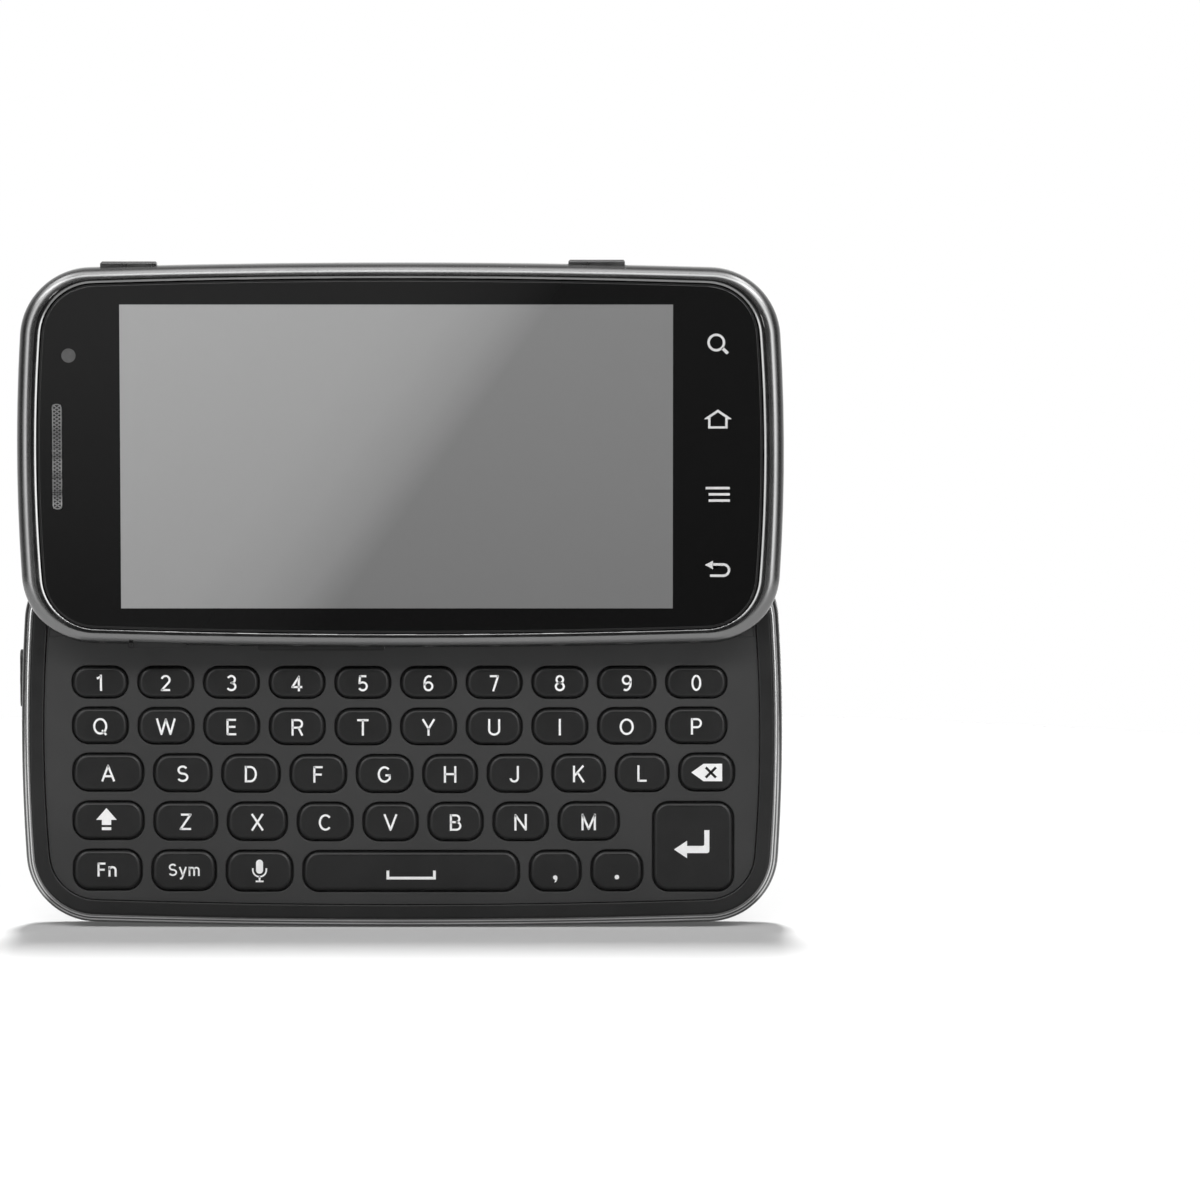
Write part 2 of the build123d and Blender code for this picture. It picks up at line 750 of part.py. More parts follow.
def camera_module():
    """The square module, with its barrel and lens up against the window."""
    barrel_end = window_recess + window_thickness + fit_gap
    housing_end = chassis_back + camera_seat
    body = pad(camera_x, 0, camera_size, camera_size, part_corner_radius, housing_end,
               mid_plate_back - fit_gap)
    body += disc(camera_x, 0, barrel_radius, barrel_end, housing_end)
    cone = Pos(camera_x, 0, barrel_end + lens_depth / 2) * Cone(lens_radius, lens_radius / 2, lens_depth)
    return body - cone


def flash_window():
    return pad(flash_x, 0, flash_size, flash_size, flash_radius - fit_gap, island_recess / 2,
               chassis_back - flash_seat)


def flash_led():
    """The light and the post that holds it up off the main board."""
    low = chassis_back - flash_seat + fit_gap
    body = block((flash_x - led_size / 2, flash_x + led_size / 2), (-led_size / 2, led_size / 2),
                 (low, board_back))
    return body - disc(flash_x, 0, led_bowl_radius, 0, low + led_bowl_rim)


def slide_plate_blank(clearance, low, high):
    inset = deck_inset + slide_plate_inset + clearance
    edge = slide_zone + slide_plate_margin + clearance
    zone = block((-half_length, half_length), (edge, half_width), (low, high))
    return slab(inset, inset, low, high) & zone


def slide_base_plate():
    """The fixed plate and its two T-shaped shoes, each with an ear and a pin under its spring."""
    body = slide_plate_blank(fit_gap, slide_plate_back, slide_plate_top)
    for side in (-1, 1):
        x = side * rail_x
        body += block((x - shoe_width / 2, x + shoe_width / 2), (shoe_low, shoe_high),
                      (slide_plate_top, shoe_head_low))
        body += block((x - shoe_head_width / 2, x + shoe_head_width / 2), (shoe_low, shoe_high),
                      (shoe_head_low, shoe_head_high))
        pin_x = x - side * spring_pin_inset
        ear = sorted((x, pin_x - side * spring_pin_radius * 2))
        reach_y = spring_pin_radius * 2
        body += block(ear, (moving_pin_y - reach_y, moving_pin_y + reach_y),
                      (shoe_head_low, shoe_head_low + spring_ear_thickness))
        body += disc(pin_x, moving_pin_y, spring_pin_radius, shoe_head_low, shoe_head_high)
    return body


# ---------------------------------------------------------------- pieces of the screen half
def side_key_places():
    """The far side's keys, as the node and the middle of each."""
    return {"power_button": -half_length + power_from_end,
            "camera_button": -half_length + camera_key_from_end}


def key_room(x, opening_length, flange_length, depth, clearance):
    """A side key's opening through the far wall, with the wider pocket behind it."""
    wall = wall_y(x)
    reach = half_key_height + clearance
    flange_reach = half_key_height + side_flange_reach + clearance
    room = block((x - opening_length / 2 - clearance, x + opening_length / 2 + clearance),
                 (wall - depth - 1, wall + 2), (key_level - reach, key_level + reach))
    return room + block((x - flange_length / 2 - clearance, x + flange_length / 2 + clearance),
                        (wall - slider_side_wall - 1, wall - depth),
                        (key_level - flange_reach, key_level + flange_reach))


def side_button(x):
    wall = wall_y(x)
    cap = block((x - side_key_length / 2, x + side_key_length / 2),
                (wall - side_key_depth - fit_gap, wall + side_key_proud),
                (key_level - half_key_height, key_level + half_key_height))
    outer = cap.edges().filter_by_position(Axis.Y, wall + side_key_proud - 0.01, wall + side_key_proud + 0.01)
    cap = chamfer(outer, side_key_edge)
    reach_x = side_key_length / 2 + side_flange_reach
    reach_z = half_key_height + side_flange_reach
    outer_y = wall - side_key_depth - fit_gap
    return cap + block((x - reach_x, x + reach_x), (outer_y - side_flange, outer_y),
                       (key_level - reach_z, key_level + reach_z))


def mirrored_to_near_side(shape):
    return mirror(shape, about=Plane.XZ)


def rocker_x():
    return -half_length + rocker_from_end


def rocker_axis_y():
    """The rocker turns about its rib, on the inner face of its flange; given for the far side."""
    return wall_y(rocker_x()) - side_key_depth - rocker_gap - side_flange


def volume_rocker():
    x, wall = rocker_x(), wall_y(rocker_x())
    flange_outer = wall - side_key_depth - rocker_gap
    cap = block((x - rocker_length / 2, x + rocker_length / 2), (flange_outer, wall + rocker_proud),
                (key_level - half_key_height, key_level + half_key_height))
    outer = cap.edges().filter_by_position(Axis.Y, wall + rocker_proud - 0.01, wall + rocker_proud + 0.01)
    cap = chamfer(outer, side_key_edge)
    reach_x = rocker_length / 2 + side_flange_reach
    reach_z = half_key_height + side_flange_reach
    body = cap + block((x - reach_x, x + reach_x), (rocker_axis_y(), flange_outer),
                       (key_level - reach_z, key_level + reach_z))
    rib = Pos(x, rocker_axis_y(), key_level) * Cylinder(rocker_rib_radius, reach_z * 2)
    return mirrored_to_near_side(body + rib)


def side_switches():
    """The tact switches behind the side keys, and the saddle that the rocker's rib turns in."""
    body = Part()
    for x in side_key_places().values():
        tip = wall_y(x) - side_key_depth - fit_gap - side_flange - side_travel - press_margin
        body += switch(x, tip, wall_y(x) - switch_bay_depth() + fit_gap)
    x = rocker_x()
    back = wall_y(x) - switch_bay_depth() + fit_gap
    tip = rocker_axis_y() - rocker_switch_gap
    near = Part()
    for side in (-1, 1):
        near += switch(x + side * rocker_switch_offset, tip, back)
    saddle = block((x - saddle_width / 2, x + saddle_width / 2), (back, rocker_axis_y() - rocker_gap),
                   (key_level - half_key_height, key_level + half_key_height))
    saddle -= Pos(x, rocker_axis_y(), key_level) * Cylinder(rocker_rib_radius + fit_gap, side_key_height * 2)
    return body + mirrored_to_near_side(near + saddle)


def switch(x, tip, back):
    body_front = tip - switch_tip
    body = block((x - switch_size / 2, x + switch_size / 2), (back, body_front),
                 (key_level - half_key_height, key_level + half_key_height))
    return body + block((x - switch_size / 4, x + switch_size / 4), (body_front, tip),
                        (key_level - side_key_height / 4, key_level + side_key_height / 4))


def switch_bay_depth():
    """From the outer wall to the back of the bays that the switches stand in."""
    deepest_tip = side_key_depth + side_flange + side_travel + rocker_gap
    return deepest_tip + switch_tip + switch_depth


def door_x():
    return -half_length + door_from_end


def door_y():
    """The middle of the socket door's thickness, given for the far side."""
    return wall_y(door_x()) + door_proud - door_thickness / 2


def door_axis_x():
    return door_x() - door_length / 2 + door_thickness / 2


def usb_door():
    """A cover plate with a round end, which turns on two stub pivots."""
    radius = door_thickness / 2
    body = block((door_axis_x(), door_x() + door_length / 2), (door_y() - radius, door_y() + radius),
                 (key_level - door_height / 2, key_level + door_height / 2))
    free_edges = body.edges().filter_by(Axis.Z).sort_by(Axis.X)[-2:]
    body = fillet(free_edges, side_key_edge)
    knuckle = Pos(door_axis_x(), door_y(), key_level) * Cylinder(radius, door_height)
    pivot = (Pos(door_axis_x(), door_y(), key_level)
             * Cylinder(door_pivot_radius, door_height + door_pivot_reach * 2))
    return mirrored_to_near_side(body + knuckle + pivot)


def door_room():
    """The door's recess, its pivot holes and the mouth of the socket behind it."""
    x = door_x()
    floor = door_y() - door_thickness / 2 - moving_gap
    reach_z = door_height / 2 + moving_gap
    room = block((x - door_length / 2 - moving_gap, x + door_length / 2 + moving_gap),
                 (floor, wall_y(x) + 2), (key_level - reach_z, key_level + reach_z))
    room += (Pos(door_axis_x(), door_y(), key_level)
             * Cylinder(door_pivot_radius + fit_gap, (reach_z + door_pivot_reach) * 2))
    return mirrored_to_near_side(room + socket_room(fit_gap))


def socket_room(clearance):
    x = door_x() + door_thickness / 2
    mouth = door_y() - door_thickness / 2 - moving_gap
    return block((x - socket_width / 2 - clearance, x + socket_width / 2 + clearance),
                 (mouth - socket_depth - clearance, mouth),
                 (key_level - socket_height / 2 - clearance, key_level + socket_height / 2 + clearance))


def usb_socket():
    """The socket's open shell, with the tongue that carries its contacts."""
    x = door_x() + door_thickness / 2
    mouth = door_y() - door_thickness / 2 - moving_gap
    back = mouth - socket_depth
    inner_x = socket_width / 2 - socket_wall
    inner_z = socket_height / 2 - socket_wall
    body = socket_room(0)
    body -= block((x - inner_x, x + inner_x), (back + socket_wall, mouth + 1),
                  (key_level - inner_z, key_level + inner_z))
    body += block((x - inner_x + tongue_margin, x + inner_x - tongue_margin), (back, mouth - tongue_margin),
                  (key_level - tongue_height / 2, key_level + tongue_height / 2))
    return mirrored_to_near_side(body)


def slider_frame():
    body = slab(0, 0, slider_back, slider_face)
    body = fillet(edges_at(body, slider_face), slider_front_radius)
    body = fillet(edges_at(body, slider_back), slider_back_radius)
    body -= slab(slider_end_wall, slider_side_wall, slider_back - 1, slider_face + 1)
    for x in side_key_places().values():
        body -= key_room(x, side_key_length, side_key_length + side_flange_reach * 2, side_key_depth,
                         moving_gap)
    rocker_room = key_room(rocker_x(), rocker_length, rocker_length + side_flange_reach * 2,
                           side_key_depth, moving_gap)
    return body - mirrored_to_near_side(rocker_room) - door_room()


def switch_bays():
    """Room in the chassis for the switches, the rocker and the socket."""
    reach_z = half_key_height + side_flange_reach + moving_gap
    bays = Part()
    for x in side_key_places().values():
        reach = side_key_length / 2 + side_flange_reach + moving_gap
        bays += block((x - reach, x + reach), (wall_y(x) - switch_bay_depth(), half_width),
                      (key_level - reach_z, key_level + reach_z))
    x = rocker_x()
    reach = rocker_length / 2 + side_flange_reach + moving_gap
    near = block((x - reach, x + reach), (wall_y(x) - switch_bay_depth(), half_width),
                 (key_level - reach_z, key_level + reach_z))
    return bays + mirrored_to_near_side(near + socket_room(fit_gap))


def slider_chassis():
    """The plate behind the display, the wall that the bezel sits on and the springs' posts."""
    outer = (slider_end_wall + fit_gap, slider_side_wall + fit_gap)
    inner = (outer[0] + chassis_wall, outer[1] + chassis_wall)
    body = slab(*outer, chassis_low, chassis_top)
    body += ring(outer, inner, chassis_top, bezel_back - fit_gap)
    for side in (-1, 1):
        body += disc(side * spring_x, spring_y, spring_pin_radius, plate_top + fit_gap, chassis_low)
    return body - switch_bays()


def bezel_ring():
    outer = (slider_end_wall + fit_gap, slider_side_wall + fit_gap)
    inner = (glass_end_inset - bezel_gap, glass_side_inset - bezel_gap)
    body = slab(*outer, bezel_back, bezel_face) - slab(*inner, bezel_back - 1, bezel_face + 1)
    inner_edges = edges_at(body, bezel_face).sort_by(lambda edge: abs(edge.center().X) / half_length
                                                     + abs(edge.center().Y) / half_width)
    return chamfer(inner_edges[:len(inner_edges) // 2], bezel_chamfer)


def front_glass():
    body = slab(glass_end_inset, glass_side_inset, glass_back, glass_face)
    body = fillet(edges_at(body, glass_face), glass_edge_radius)
    return body - earpiece_slot(fit_gap, glass_back - 1, glass_face + 1)


def earpiece_x():
    return -half_length + glass_end_inset + earpiece_margin


def earpiece_slot(clearance, low, high):
    slot = SlotOverall(earpiece_length + clearance * 2, earpiece_width + clearance * 2, rotation=90)
    return extrude(Pos(earpiece_x(), 0, low) * slot, high - low, dir=(0, 0, 1))


def earpiece_mesh():
    return earpiece_slot(0, panel_high - fit_gap, glass_face - earpiece_recess)


def earpiece_speaker():
    top = panel_high - fit_gap * 2
    body = pad(earpiece_x(), 0, earpiece_speaker_width, earpiece_speaker_length, earpiece_speaker_radius,
               panel_low, top)
    return fillet(edges_at(body, top), stamped_edge_radius)


def front_camera():
    x = -half_length + glass_end_inset + front_camera_margin
    body = disc(x, front_camera_offset, front_camera_radius, panel_low, panel_high)
    cone = Cone(front_lens_radius - front_lens_flare, front_lens_radius + front_lens_flare, front_lens_depth)
    return body - Pos(x, front_camera_offset, panel_high - front_lens_depth / 2) * cone


def display_panel():
    left = -half_length + glass_end_inset + display_left_margin
    right = half_length - glass_end_inset - display_right_margin
    reach = half_width - glass_side_inset - display_side_margin
    return block((left, right), (-reach, reach), (panel_low, panel_high))


def touch_key_board():
    """The lit strip behind the four touch keys, with a light guide under each."""
    x = half_length - glass_end_inset - touch_key_margin
    reach_y = touch_key_pitch * 1.5 + touch_guide_size
    board_face = panel_low + touch_board_thickness
    body = block((x - touch_board_width / 2, x + touch_board_width / 2), (-reach_y, reach_y),
                 (panel_low, board_face))
    for place in range(4):
        y = (place - 1.5) * touch_key_pitch
        body += pad(x, y, touch_guide_size, touch_guide_size, touch_guide_radius, board_face, panel_high)
    return body


def slider_back_plate():
    body = slab(slider_end_wall + fit_gap, slider_side_wall + fit_gap, slider_back, plate_top)
    slot_low = shoe_low - slide_travel - stop_gap
    slot_high = shoe_high + stop_gap
    for side in (-1, 1):
        slot = RectangleRounded(slot_width, slot_high - slot_low, slot_width / 5)
        body -= extrude(Pos(side * rail_x, (slot_low + slot_high) / 2, slider_back - 1) * slot,
                        back_plate_thickness + 2, dir=(0, 0, 1))
    return body


def slide_spring(side):
    """A flat wire spring: an eye on the chassis's post, a coil, and an eye over the shoe's pin."""
    fixed = Vector(side * spring_x, spring_y)
    moving = Vector(side * (rail_x - spring_pin_inset), moving_pin_y - slide_travel)
    middle = (fixed + moving) * 0.5
    along = moving - fixed
    angle = math.degrees(math.atan2(along.Y, along.X))
    arm_length = along.length / 2 - spring_eye_radius - spring_coil_radius + spring_wire
    body = Sketch()
    for centre, radius in ((fixed, spring_eye_radius), (moving, spring_eye_radius),
                           (middle, spring_coil_radius)):
        body += Pos(centre.X, centre.Y) * (Circle(radius) - Circle(radius - spring_wire))
    for share in (-1, 1):
        offset = along.normalized() * (share * along.length / 4
                                       + share * (spring_coil_radius - spring_eye_radius) / 2)
        centre = middle + offset
        body += Pos(centre.X, centre.Y) * Rot(0, 0, angle) * Rectangle(arm_length, spring_wire)
    return Pos(0, 0, spring_low) * extrude(body, spring_thickness, dir=(0, 0, 1))


# ---------------------------------------------------------------- storing the pieces
base_pieces = {
    "battery_cover": battery_cover(),
    "base_trim_ring": base_trim_ring(),
    "base_frame": base_frame(),
    "keyboard_rim": keyboard_rim(),
    "keyboard_deck": keyboard_deck(),
    "dome_sheet": dome_sheet(),
    "keypad_board": keypad_board(),
    "mid_plate": mid_plate(),
    "case_screws": case_screws(),
    "main_board": main_board(),
    "sim_socket": card_socket("sim", sim_slot),
    "memory_card_socket": card_socket("memory", memory_slot),
    "shield_cans": shield_cans(),
    "rear_chassis": rear_chassis(),
    "battery": battery(),
    "battery_contacts": battery_contacts(),
    "sub_board": sub_board(),
    "loudspeaker": loudspeaker(),
    "loudspeaker_mesh": loudspeaker_mesh(),
    "vibration_motor": vibration_motor(),
    "microphone": microphone(),
    "headset_jack": headset_jack(),
    "camera_island": camera_island(),
    "camera_trim_ring": camera_trim_ring(),
    "camera_window": camera_window(),
    "camera_module": camera_module(),
    "flash_window": flash_window(),
    "flash_led": flash_led(),
    "slide_base_plate": slide_base_plate(),
}
for node, group in key_openings().items():
    base_pieces[node] = Part() + [key(*opening) for opening in group]

slider_pieces = {
    "slider_frame": slider_frame(),
    "slider_back_plate": slider_back_plate(),
    "slider_chassis": slider_chassis(),
    "bezel_ring": bezel_ring(),
    "front_glass": front_glass(),
    "display_panel": display_panel(),
    "earpiece_mesh": earpiece_mesh(),
    "earpiece_speaker": earpiece_speaker(),
    "front_camera": front_camera(),
    "touch_key_board": touch_key_board(),
    "side_switches": side_switches(),
    "volume_rocker": volume_rocker(),
    "usb_socket": usb_socket(),
    "usb_door": usb_door(),
    "slide_spring_left": slide_spring(-1),
    "slide_spring_right": slide_spring(1),
}
for node, place in side_key_places().items():
    slider_pieces[node] = side_button(place)

# Upright, with the origin in the middle of the keyboard half, where two hands hold it.
upright = Rot(90, 0, 0) * Pos(0, 0, -base_thickness / 2)
os.makedirs("parts", exist_ok=True)
for node, piece in base_pieces.items():
    export_step(upright * piece, f"parts/{node}.step")
for node, piece in slider_pieces.items():
    export_step(upright * Pos(0, slide_travel, 0) * piece, f"parts/{node}.step")
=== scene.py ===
import json
import math

import bmesh
import bpy
from mathutils import Matrix, Vector


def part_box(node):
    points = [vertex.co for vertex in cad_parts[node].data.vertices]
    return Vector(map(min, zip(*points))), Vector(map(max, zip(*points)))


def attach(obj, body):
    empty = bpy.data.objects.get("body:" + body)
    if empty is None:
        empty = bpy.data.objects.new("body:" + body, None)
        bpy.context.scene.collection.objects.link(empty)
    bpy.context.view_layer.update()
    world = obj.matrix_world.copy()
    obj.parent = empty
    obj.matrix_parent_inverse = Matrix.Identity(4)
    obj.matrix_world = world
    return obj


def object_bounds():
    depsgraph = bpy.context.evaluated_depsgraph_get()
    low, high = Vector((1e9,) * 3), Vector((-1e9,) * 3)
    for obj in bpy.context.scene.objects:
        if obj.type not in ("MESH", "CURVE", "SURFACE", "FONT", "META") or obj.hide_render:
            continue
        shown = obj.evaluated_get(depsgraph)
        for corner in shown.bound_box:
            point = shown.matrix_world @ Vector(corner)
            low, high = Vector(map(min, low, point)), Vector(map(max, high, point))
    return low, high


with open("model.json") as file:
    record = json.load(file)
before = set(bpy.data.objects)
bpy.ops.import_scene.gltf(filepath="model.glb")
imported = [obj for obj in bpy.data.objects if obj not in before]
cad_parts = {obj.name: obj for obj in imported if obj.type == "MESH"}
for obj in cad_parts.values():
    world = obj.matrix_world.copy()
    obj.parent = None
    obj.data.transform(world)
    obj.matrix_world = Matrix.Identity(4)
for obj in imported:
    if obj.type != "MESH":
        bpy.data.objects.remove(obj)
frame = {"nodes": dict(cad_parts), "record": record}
cad_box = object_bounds()
nodes = frame["nodes"]

# All places are in metres in the part's own frame: X along the phone, -Y out of the screen and the
# keys, +Z the way the screen half slides open. Shapes of legends and icons are drawn in millimetres.
mm = 0.001
print_thickness = 0.02 * mm
facing_front = Matrix.Rotation(math.radians(90), 4, "X")  # turns a drawing in XY to face -Y
facing_back = Matrix.Rotation(math.radians(180), 4, "Z") @ facing_front


# ---------------------------------------------------------------- places of the CAD nodes
def centre_of(node):
    """The middle of a node as (x, z)."""
    low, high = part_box(node)
    return ((low.x + high.x) / 2, (low.z + high.z) / 2)


def half_size_of(node):
    """Half the length and half the height of a node, along X and Z."""
    low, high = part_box(node)
    return ((high.x - low.x) / 2, (high.z - low.z) / 2)


def front_of(node):
    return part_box(node)[0].y


def back_of(node):
    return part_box(node)[1].y


# ---------------------------------------------------------------- node-based materials
class Nodes:
    """Short ways to add and join the nodes of one tree."""

    def __init__(self, tree):
        self.tree = tree

    def feed(self, socket, value):
        if isinstance(value, bpy.types.NodeSocket):
            self.tree.links.new(value, socket)
        else:
            socket.default_value = value

    def node(self, kind, **inputs):
        node = self.tree.nodes.new("ShaderNode" + kind)
        for name, value in inputs.items():
            self.feed(node.inputs[name.replace("_", " ")], value)
        return node

    def math(self, operation, first, second=0.0, third=0.0):
        node = self.tree.nodes.new("ShaderNodeMath")
        node.operation = operation
        for socket, value in zip(node.inputs, (first, second, third)):
            self.feed(socket, value)
        return node.outputs[0]

    def between(self, value, low, high, to_low=0.0, to_high=1.0, smooth=False):
        node = self.node("MapRange", Value=value)
        if smooth:
            node.interpolation_type = "SMOOTHSTEP"
        for name, number in zip(("From Min", "From Max", "To Min", "To Max"), (low, high, to_low, to_high)):
            self.feed(node.inputs[name], number)
        return node.outputs[0]


class Surface(Nodes):
    """One Principled material."""

    def __init__(self, name, **sockets):
        self.material = bpy.data.materials.new(name)
        self.material.use_nodes = True
        super().__init__(self.material.node_tree)
        self.shader = self.tree.nodes["Principled BSDF"]
        for socket, value in sockets.items():
            self.feed(self.shader.inputs[socket.replace("_", " ").title().replace("Ior", "IOR")], value)

    def set(self, socket, value):
        self.feed(self.shader.inputs[socket], value)

    def coordinates(self):
        """The part's own x, y and z."""
        return self.node("SeparateXYZ", Vector=self.place()).outputs

    def place(self):
        return self.tree.nodes.new("ShaderNodeTexCoord").outputs["Object"]

    def noise(self, scale, detail=3.0, stretch=None):
        place = self.place()
        if stretch:
            place = self.node("Mapping", Vector=place, Scale=stretch).outputs[0]
        return self.node("TexNoise", Vector=place, Scale=scale, Detail=detail, Roughness=0.55).outputs[0]

    def ramp(self, factor, stops):
        """A colour ramp. Each stop is (position, grey value or RGB)."""
        node = self.node("ValToRGB", Fac=factor)
        elements = node.color_ramp.elements
        while len(elements) < len(stops):
            elements.new(0.5)
        for element, (position, colour) in zip(elements, stops):
            element.position = position
            rgb = (colour,) * 3 if isinstance(colour, (int, float)) else colour
            element.color = (*rgb, 1)
        return node.outputs["Color"]

    def mix(self, factor, first, second):
        node = self.tree.nodes.new("ShaderNodeMix")
        node.data_type = "RGBA"  # its colours are inputs 6 and 7 and output 2
        self.feed(node.inputs["Factor"], factor)
        self.feed(node.inputs[6], first)
        self.feed(node.inputs[7], second)
        return node.outputs[2]

    def bump(self, height, distance, strength, edge_radius=0.0):
        """Fine relief, with the shape's sharp edges softened by edge_radius."""
        node = self.node("Bump", Height=height, Strength=strength, Distance=distance)
        if edge_radius:
            edge = self.node("Bevel", Radius=edge_radius)
            edge.samples = 6
            self.feed(node.inputs["Normal"], edge.outputs[0])
        self.set("Normal", node.outputs["Normal"])


# The parts of a noise's range over which tones drift and roughness varies.
drift_span = (0.35, 0.65)
wear_span = (0.3, 0.7)


def grey(value):
    return (value, value, value, 1)


def drifting(surface, low, high, scale):
    """A colour that drifts between two tones, as moulded and painted parts have."""
    return surface.mix(surface.between(surface.noise(scale), *drift_span), low, high)


def tinted(surface, low, high, scale):
    surface.set("Base Color", drifting(surface, low, high, scale))


def worn_roughness(surface, low, high, scale, detail=4.0):
    surface.set("Roughness", surface.between(surface.noise(scale, detail), *wear_span, low, high))


def soft_cover():
    """Soft-touch plastic with a fine diamond cross-hatch moulded in, its hollows painted far darker than its
    ridges as painted shade.
    """
    surface = Surface("soft_touch_cover", specular_ior_level=0.35)
    x, _, z = surface.coordinates()
    pitch = 0.757 * mm  # between the ridges
    waves = []
    for operation in ("ADD", "SUBTRACT"):
        phase = surface.math("MULTIPLY", surface.math(operation, x, z), math.pi / pitch / math.sqrt(2))
        waves.append(surface.math("ABSOLUTE", surface.math("SINE", phase)))
    hatch = surface.math("MULTIPLY", waves[0], waves[1])
    grain = surface.noise(2600, 2.0)
    surface.bump(surface.math("MULTIPLY_ADD", grain, 0.18, hatch), 0.05 * mm, 0.55)
    # Painted shade: the hatch's hollows take a far darker tone than its ridges.
    hollow_painted_shade = drifting(surface, grey(0.009), grey(0.012), 60)
    ridge_tone = drifting(surface, grey(0.054), grey(0.064), 90)
    surface.set("Base Color", surface.mix(hatch, hollow_painted_shade, ridge_tone))
    surface.set("Roughness", surface.between(hatch, 0, 1, 0.62, 0.44))
    return surface.material


def gunmetal(name="gunmetal_paint", tone=0.165):
    """Dark metallic paint under a satin clear coat."""
    surface = Surface(name, metallic=0.95, coat_weight=0.15, coat_roughness=0.15)
    tinted(surface, grey(tone * 0.94), grey(tone * 1.06), 45)
    worn_roughness(surface, 0.23, 0.27, 160)
    surface.bump(surface.noise(5200, 2.0), 0.002 * mm, 0.2)
    return surface.material


def chrome(name="trim_chrome_plate", tone=0.62, edge_radius=0.12 * mm):
    surface = Surface(name, metallic=1.0)
    tinted(surface, grey(tone * 0.92), grey(tone * 1.05), 80)
    worn_roughness(surface, 0.12, 0.2, 300)
    surface.bump(surface.noise(900, 2.0), 0.002 * mm, 0.15, edge_radius)
    return surface.material


def rim_plastic():
    surface = Surface("rim_black_plastic", specular_ior_level=0.2)
    tinted(surface, grey(0.015), grey(0.02), 70)
    worn_roughness(surface, 0.28, 0.4, 380)
    surface.bump(surface.noise(4200, 2.0), 0.006 * mm, 0.3)
    return surface.material


def deck_plastic():
    """The matte panel round the keys, finely spark-textured."""
    surface = Surface("deck_matte_plastic", specular_ior_level=0.15)
    tinted(surface, grey(0.042), grey(0.05), 40)
    worn_roughness(surface, 0.48, 0.6, 300)
    surface.bump(surface.noise(5200, 3.0), 0.012 * mm, 0.45)
    return surface.material


def key_plastic():
    surface = Surface("key_satin_plastic", specular_ior_level=0.24)
    tinted(surface, grey(0.009), grey(0.012), 160)
    worn_roughness(surface, 0.3, 0.4, 500)
    surface.bump(surface.noise(6000, 2.0), 0.005 * mm, 0.3)
    return surface.material


def side_key_metal():
    surface = Surface("side_key_metal", metallic=0.9, coat_weight=0.3, coat_roughness=0.15)
    tinted(surface, grey(0.1), grey(0.125), 160)
    worn_roughness(surface, 0.26, 0.34, 300)
    surface.bump(surface.noise(1600, 2.0, stretch=(0.1, 1, 1)), 0.001 * mm, 0.15, 0.25 * mm)
    return surface.material


def window_mask(surface, centre, half_size, softness):
    """1 inside an upright rectangle, 0 outside."""
    x, _, z = surface.coordinates()
    reaches = []
    for coordinate, window_middle, half in zip((x, z), centre, half_size):
        distance = surface.math("ABSOLUTE", surface.math("SUBTRACT", coordinate, window_middle))
        reaches.append(surface.math("SUBTRACT", half, distance))
    return surface.between(surface.math("MINIMUM", *reaches), -softness, softness)


screen_margin_x = 1.4 * mm  # from the display panel's edge to the lit area
screen_margin_z = 0.8 * mm
screen_centre = centre_of("display_panel")
panel_half = half_size_of("display_panel")
screen_half = (panel_half[0] - screen_margin_x, panel_half[1] - screen_margin_z)


def screen_glass():
    """Black-backed glass with the display behind it: a plain grey picture, lighter towards the top, and a
    painted reflection that lays one soft slanting band over picture and black border and lightens the border
    towards the top.
    """
    surface = Surface("front_glass_laminate", specular_ior_level=0.28, coat_weight=0.15, coat_roughness=0.02)
    x, _, z = surface.coordinates()
    screen_foot, screen_top = screen_centre[1] - screen_half[1], screen_centre[1] + screen_half[1]
    lit = window_mask(surface, screen_centre, screen_half, 0.03 * mm)
    fall = surface.between(z, screen_foot, screen_top)
    # The painted reflection's slanting edge leans from the upper right to the lower left of the screen.
    edge_top_x = 25 * mm
    edge_lean = 0.7  # sideways per step down
    reflection_width = 72 * mm
    drop = surface.math("SUBTRACT", screen_top, z)
    edge_x = surface.math("MULTIPLY_ADD", drop, -edge_lean, edge_top_x)
    left_of_edge = surface.between(surface.math("SUBTRACT", edge_x, x), 0, reflection_width)
    # Share of the painted reflection: 0 outside the slanting band, rising to 1 inside it.
    in_reflection = surface.ramp(left_of_edge, [(0, 0.0), (0.1, 0.42), (0.22, 0.68), (0.36, 0.82), (1, 1.0)])
    picture_base = surface.mix(fall, grey(0.198), grey(0.26))
    reflected_picture = surface.mix(fall, grey(0.37), grey(0.455))
    picture = surface.mix(in_reflection, picture_base, reflected_picture)
    # The black border, lighter towards the top and inside the band: painted reflection.
    border_base = surface.mix(fall, grey(0.006), grey(0.009))
    reflected_border = surface.mix(fall, grey(0.011), grey(0.024))
    border = surface.mix(in_reflection, border_base, reflected_border)
    surface.set("Base Color", surface.mix(lit, border, picture))
    worn_roughness(surface, 0.035, 0.06, 220, 3.0)
    return surface.material


def lens_glass():
    surface = Surface("lens_cover_glass", specular_ior_level=0.08)
    tinted(surface, grey(0.003), grey(0.005), 300)
    worn_roughness(surface, 0.03, 0.07, 500, 3.0)
    return surface.material


def perforated_steel():
    """Steel mesh: rows of punched holes."""
    surface = Surface("perforated_steel", metallic=0.9)
    pitch = 0.42 * mm
    x, _, z = surface.coordinates()
    cells = []
    for coordinate in (x, z):
        phase = surface.math("MULTIPLY", coordinate, 2 * math.pi / pitch)
        cells.append(surface.math("SINE", phase))
    field = surface.math("MULTIPLY", cells[0], cells[1])
    hole = surface.between(field, 0.05, 0.35)
    surface.set("Base Color", surface.mix(hole, grey(0.3), grey(0.01)))
    surface.set("Roughness", surface.between(hole, 0, 1, 0.3, 0.8))
    surface.bump(surface.math("SUBTRACT", 1.0, hole), 0.05 * mm, 0.8)
    return surface.material


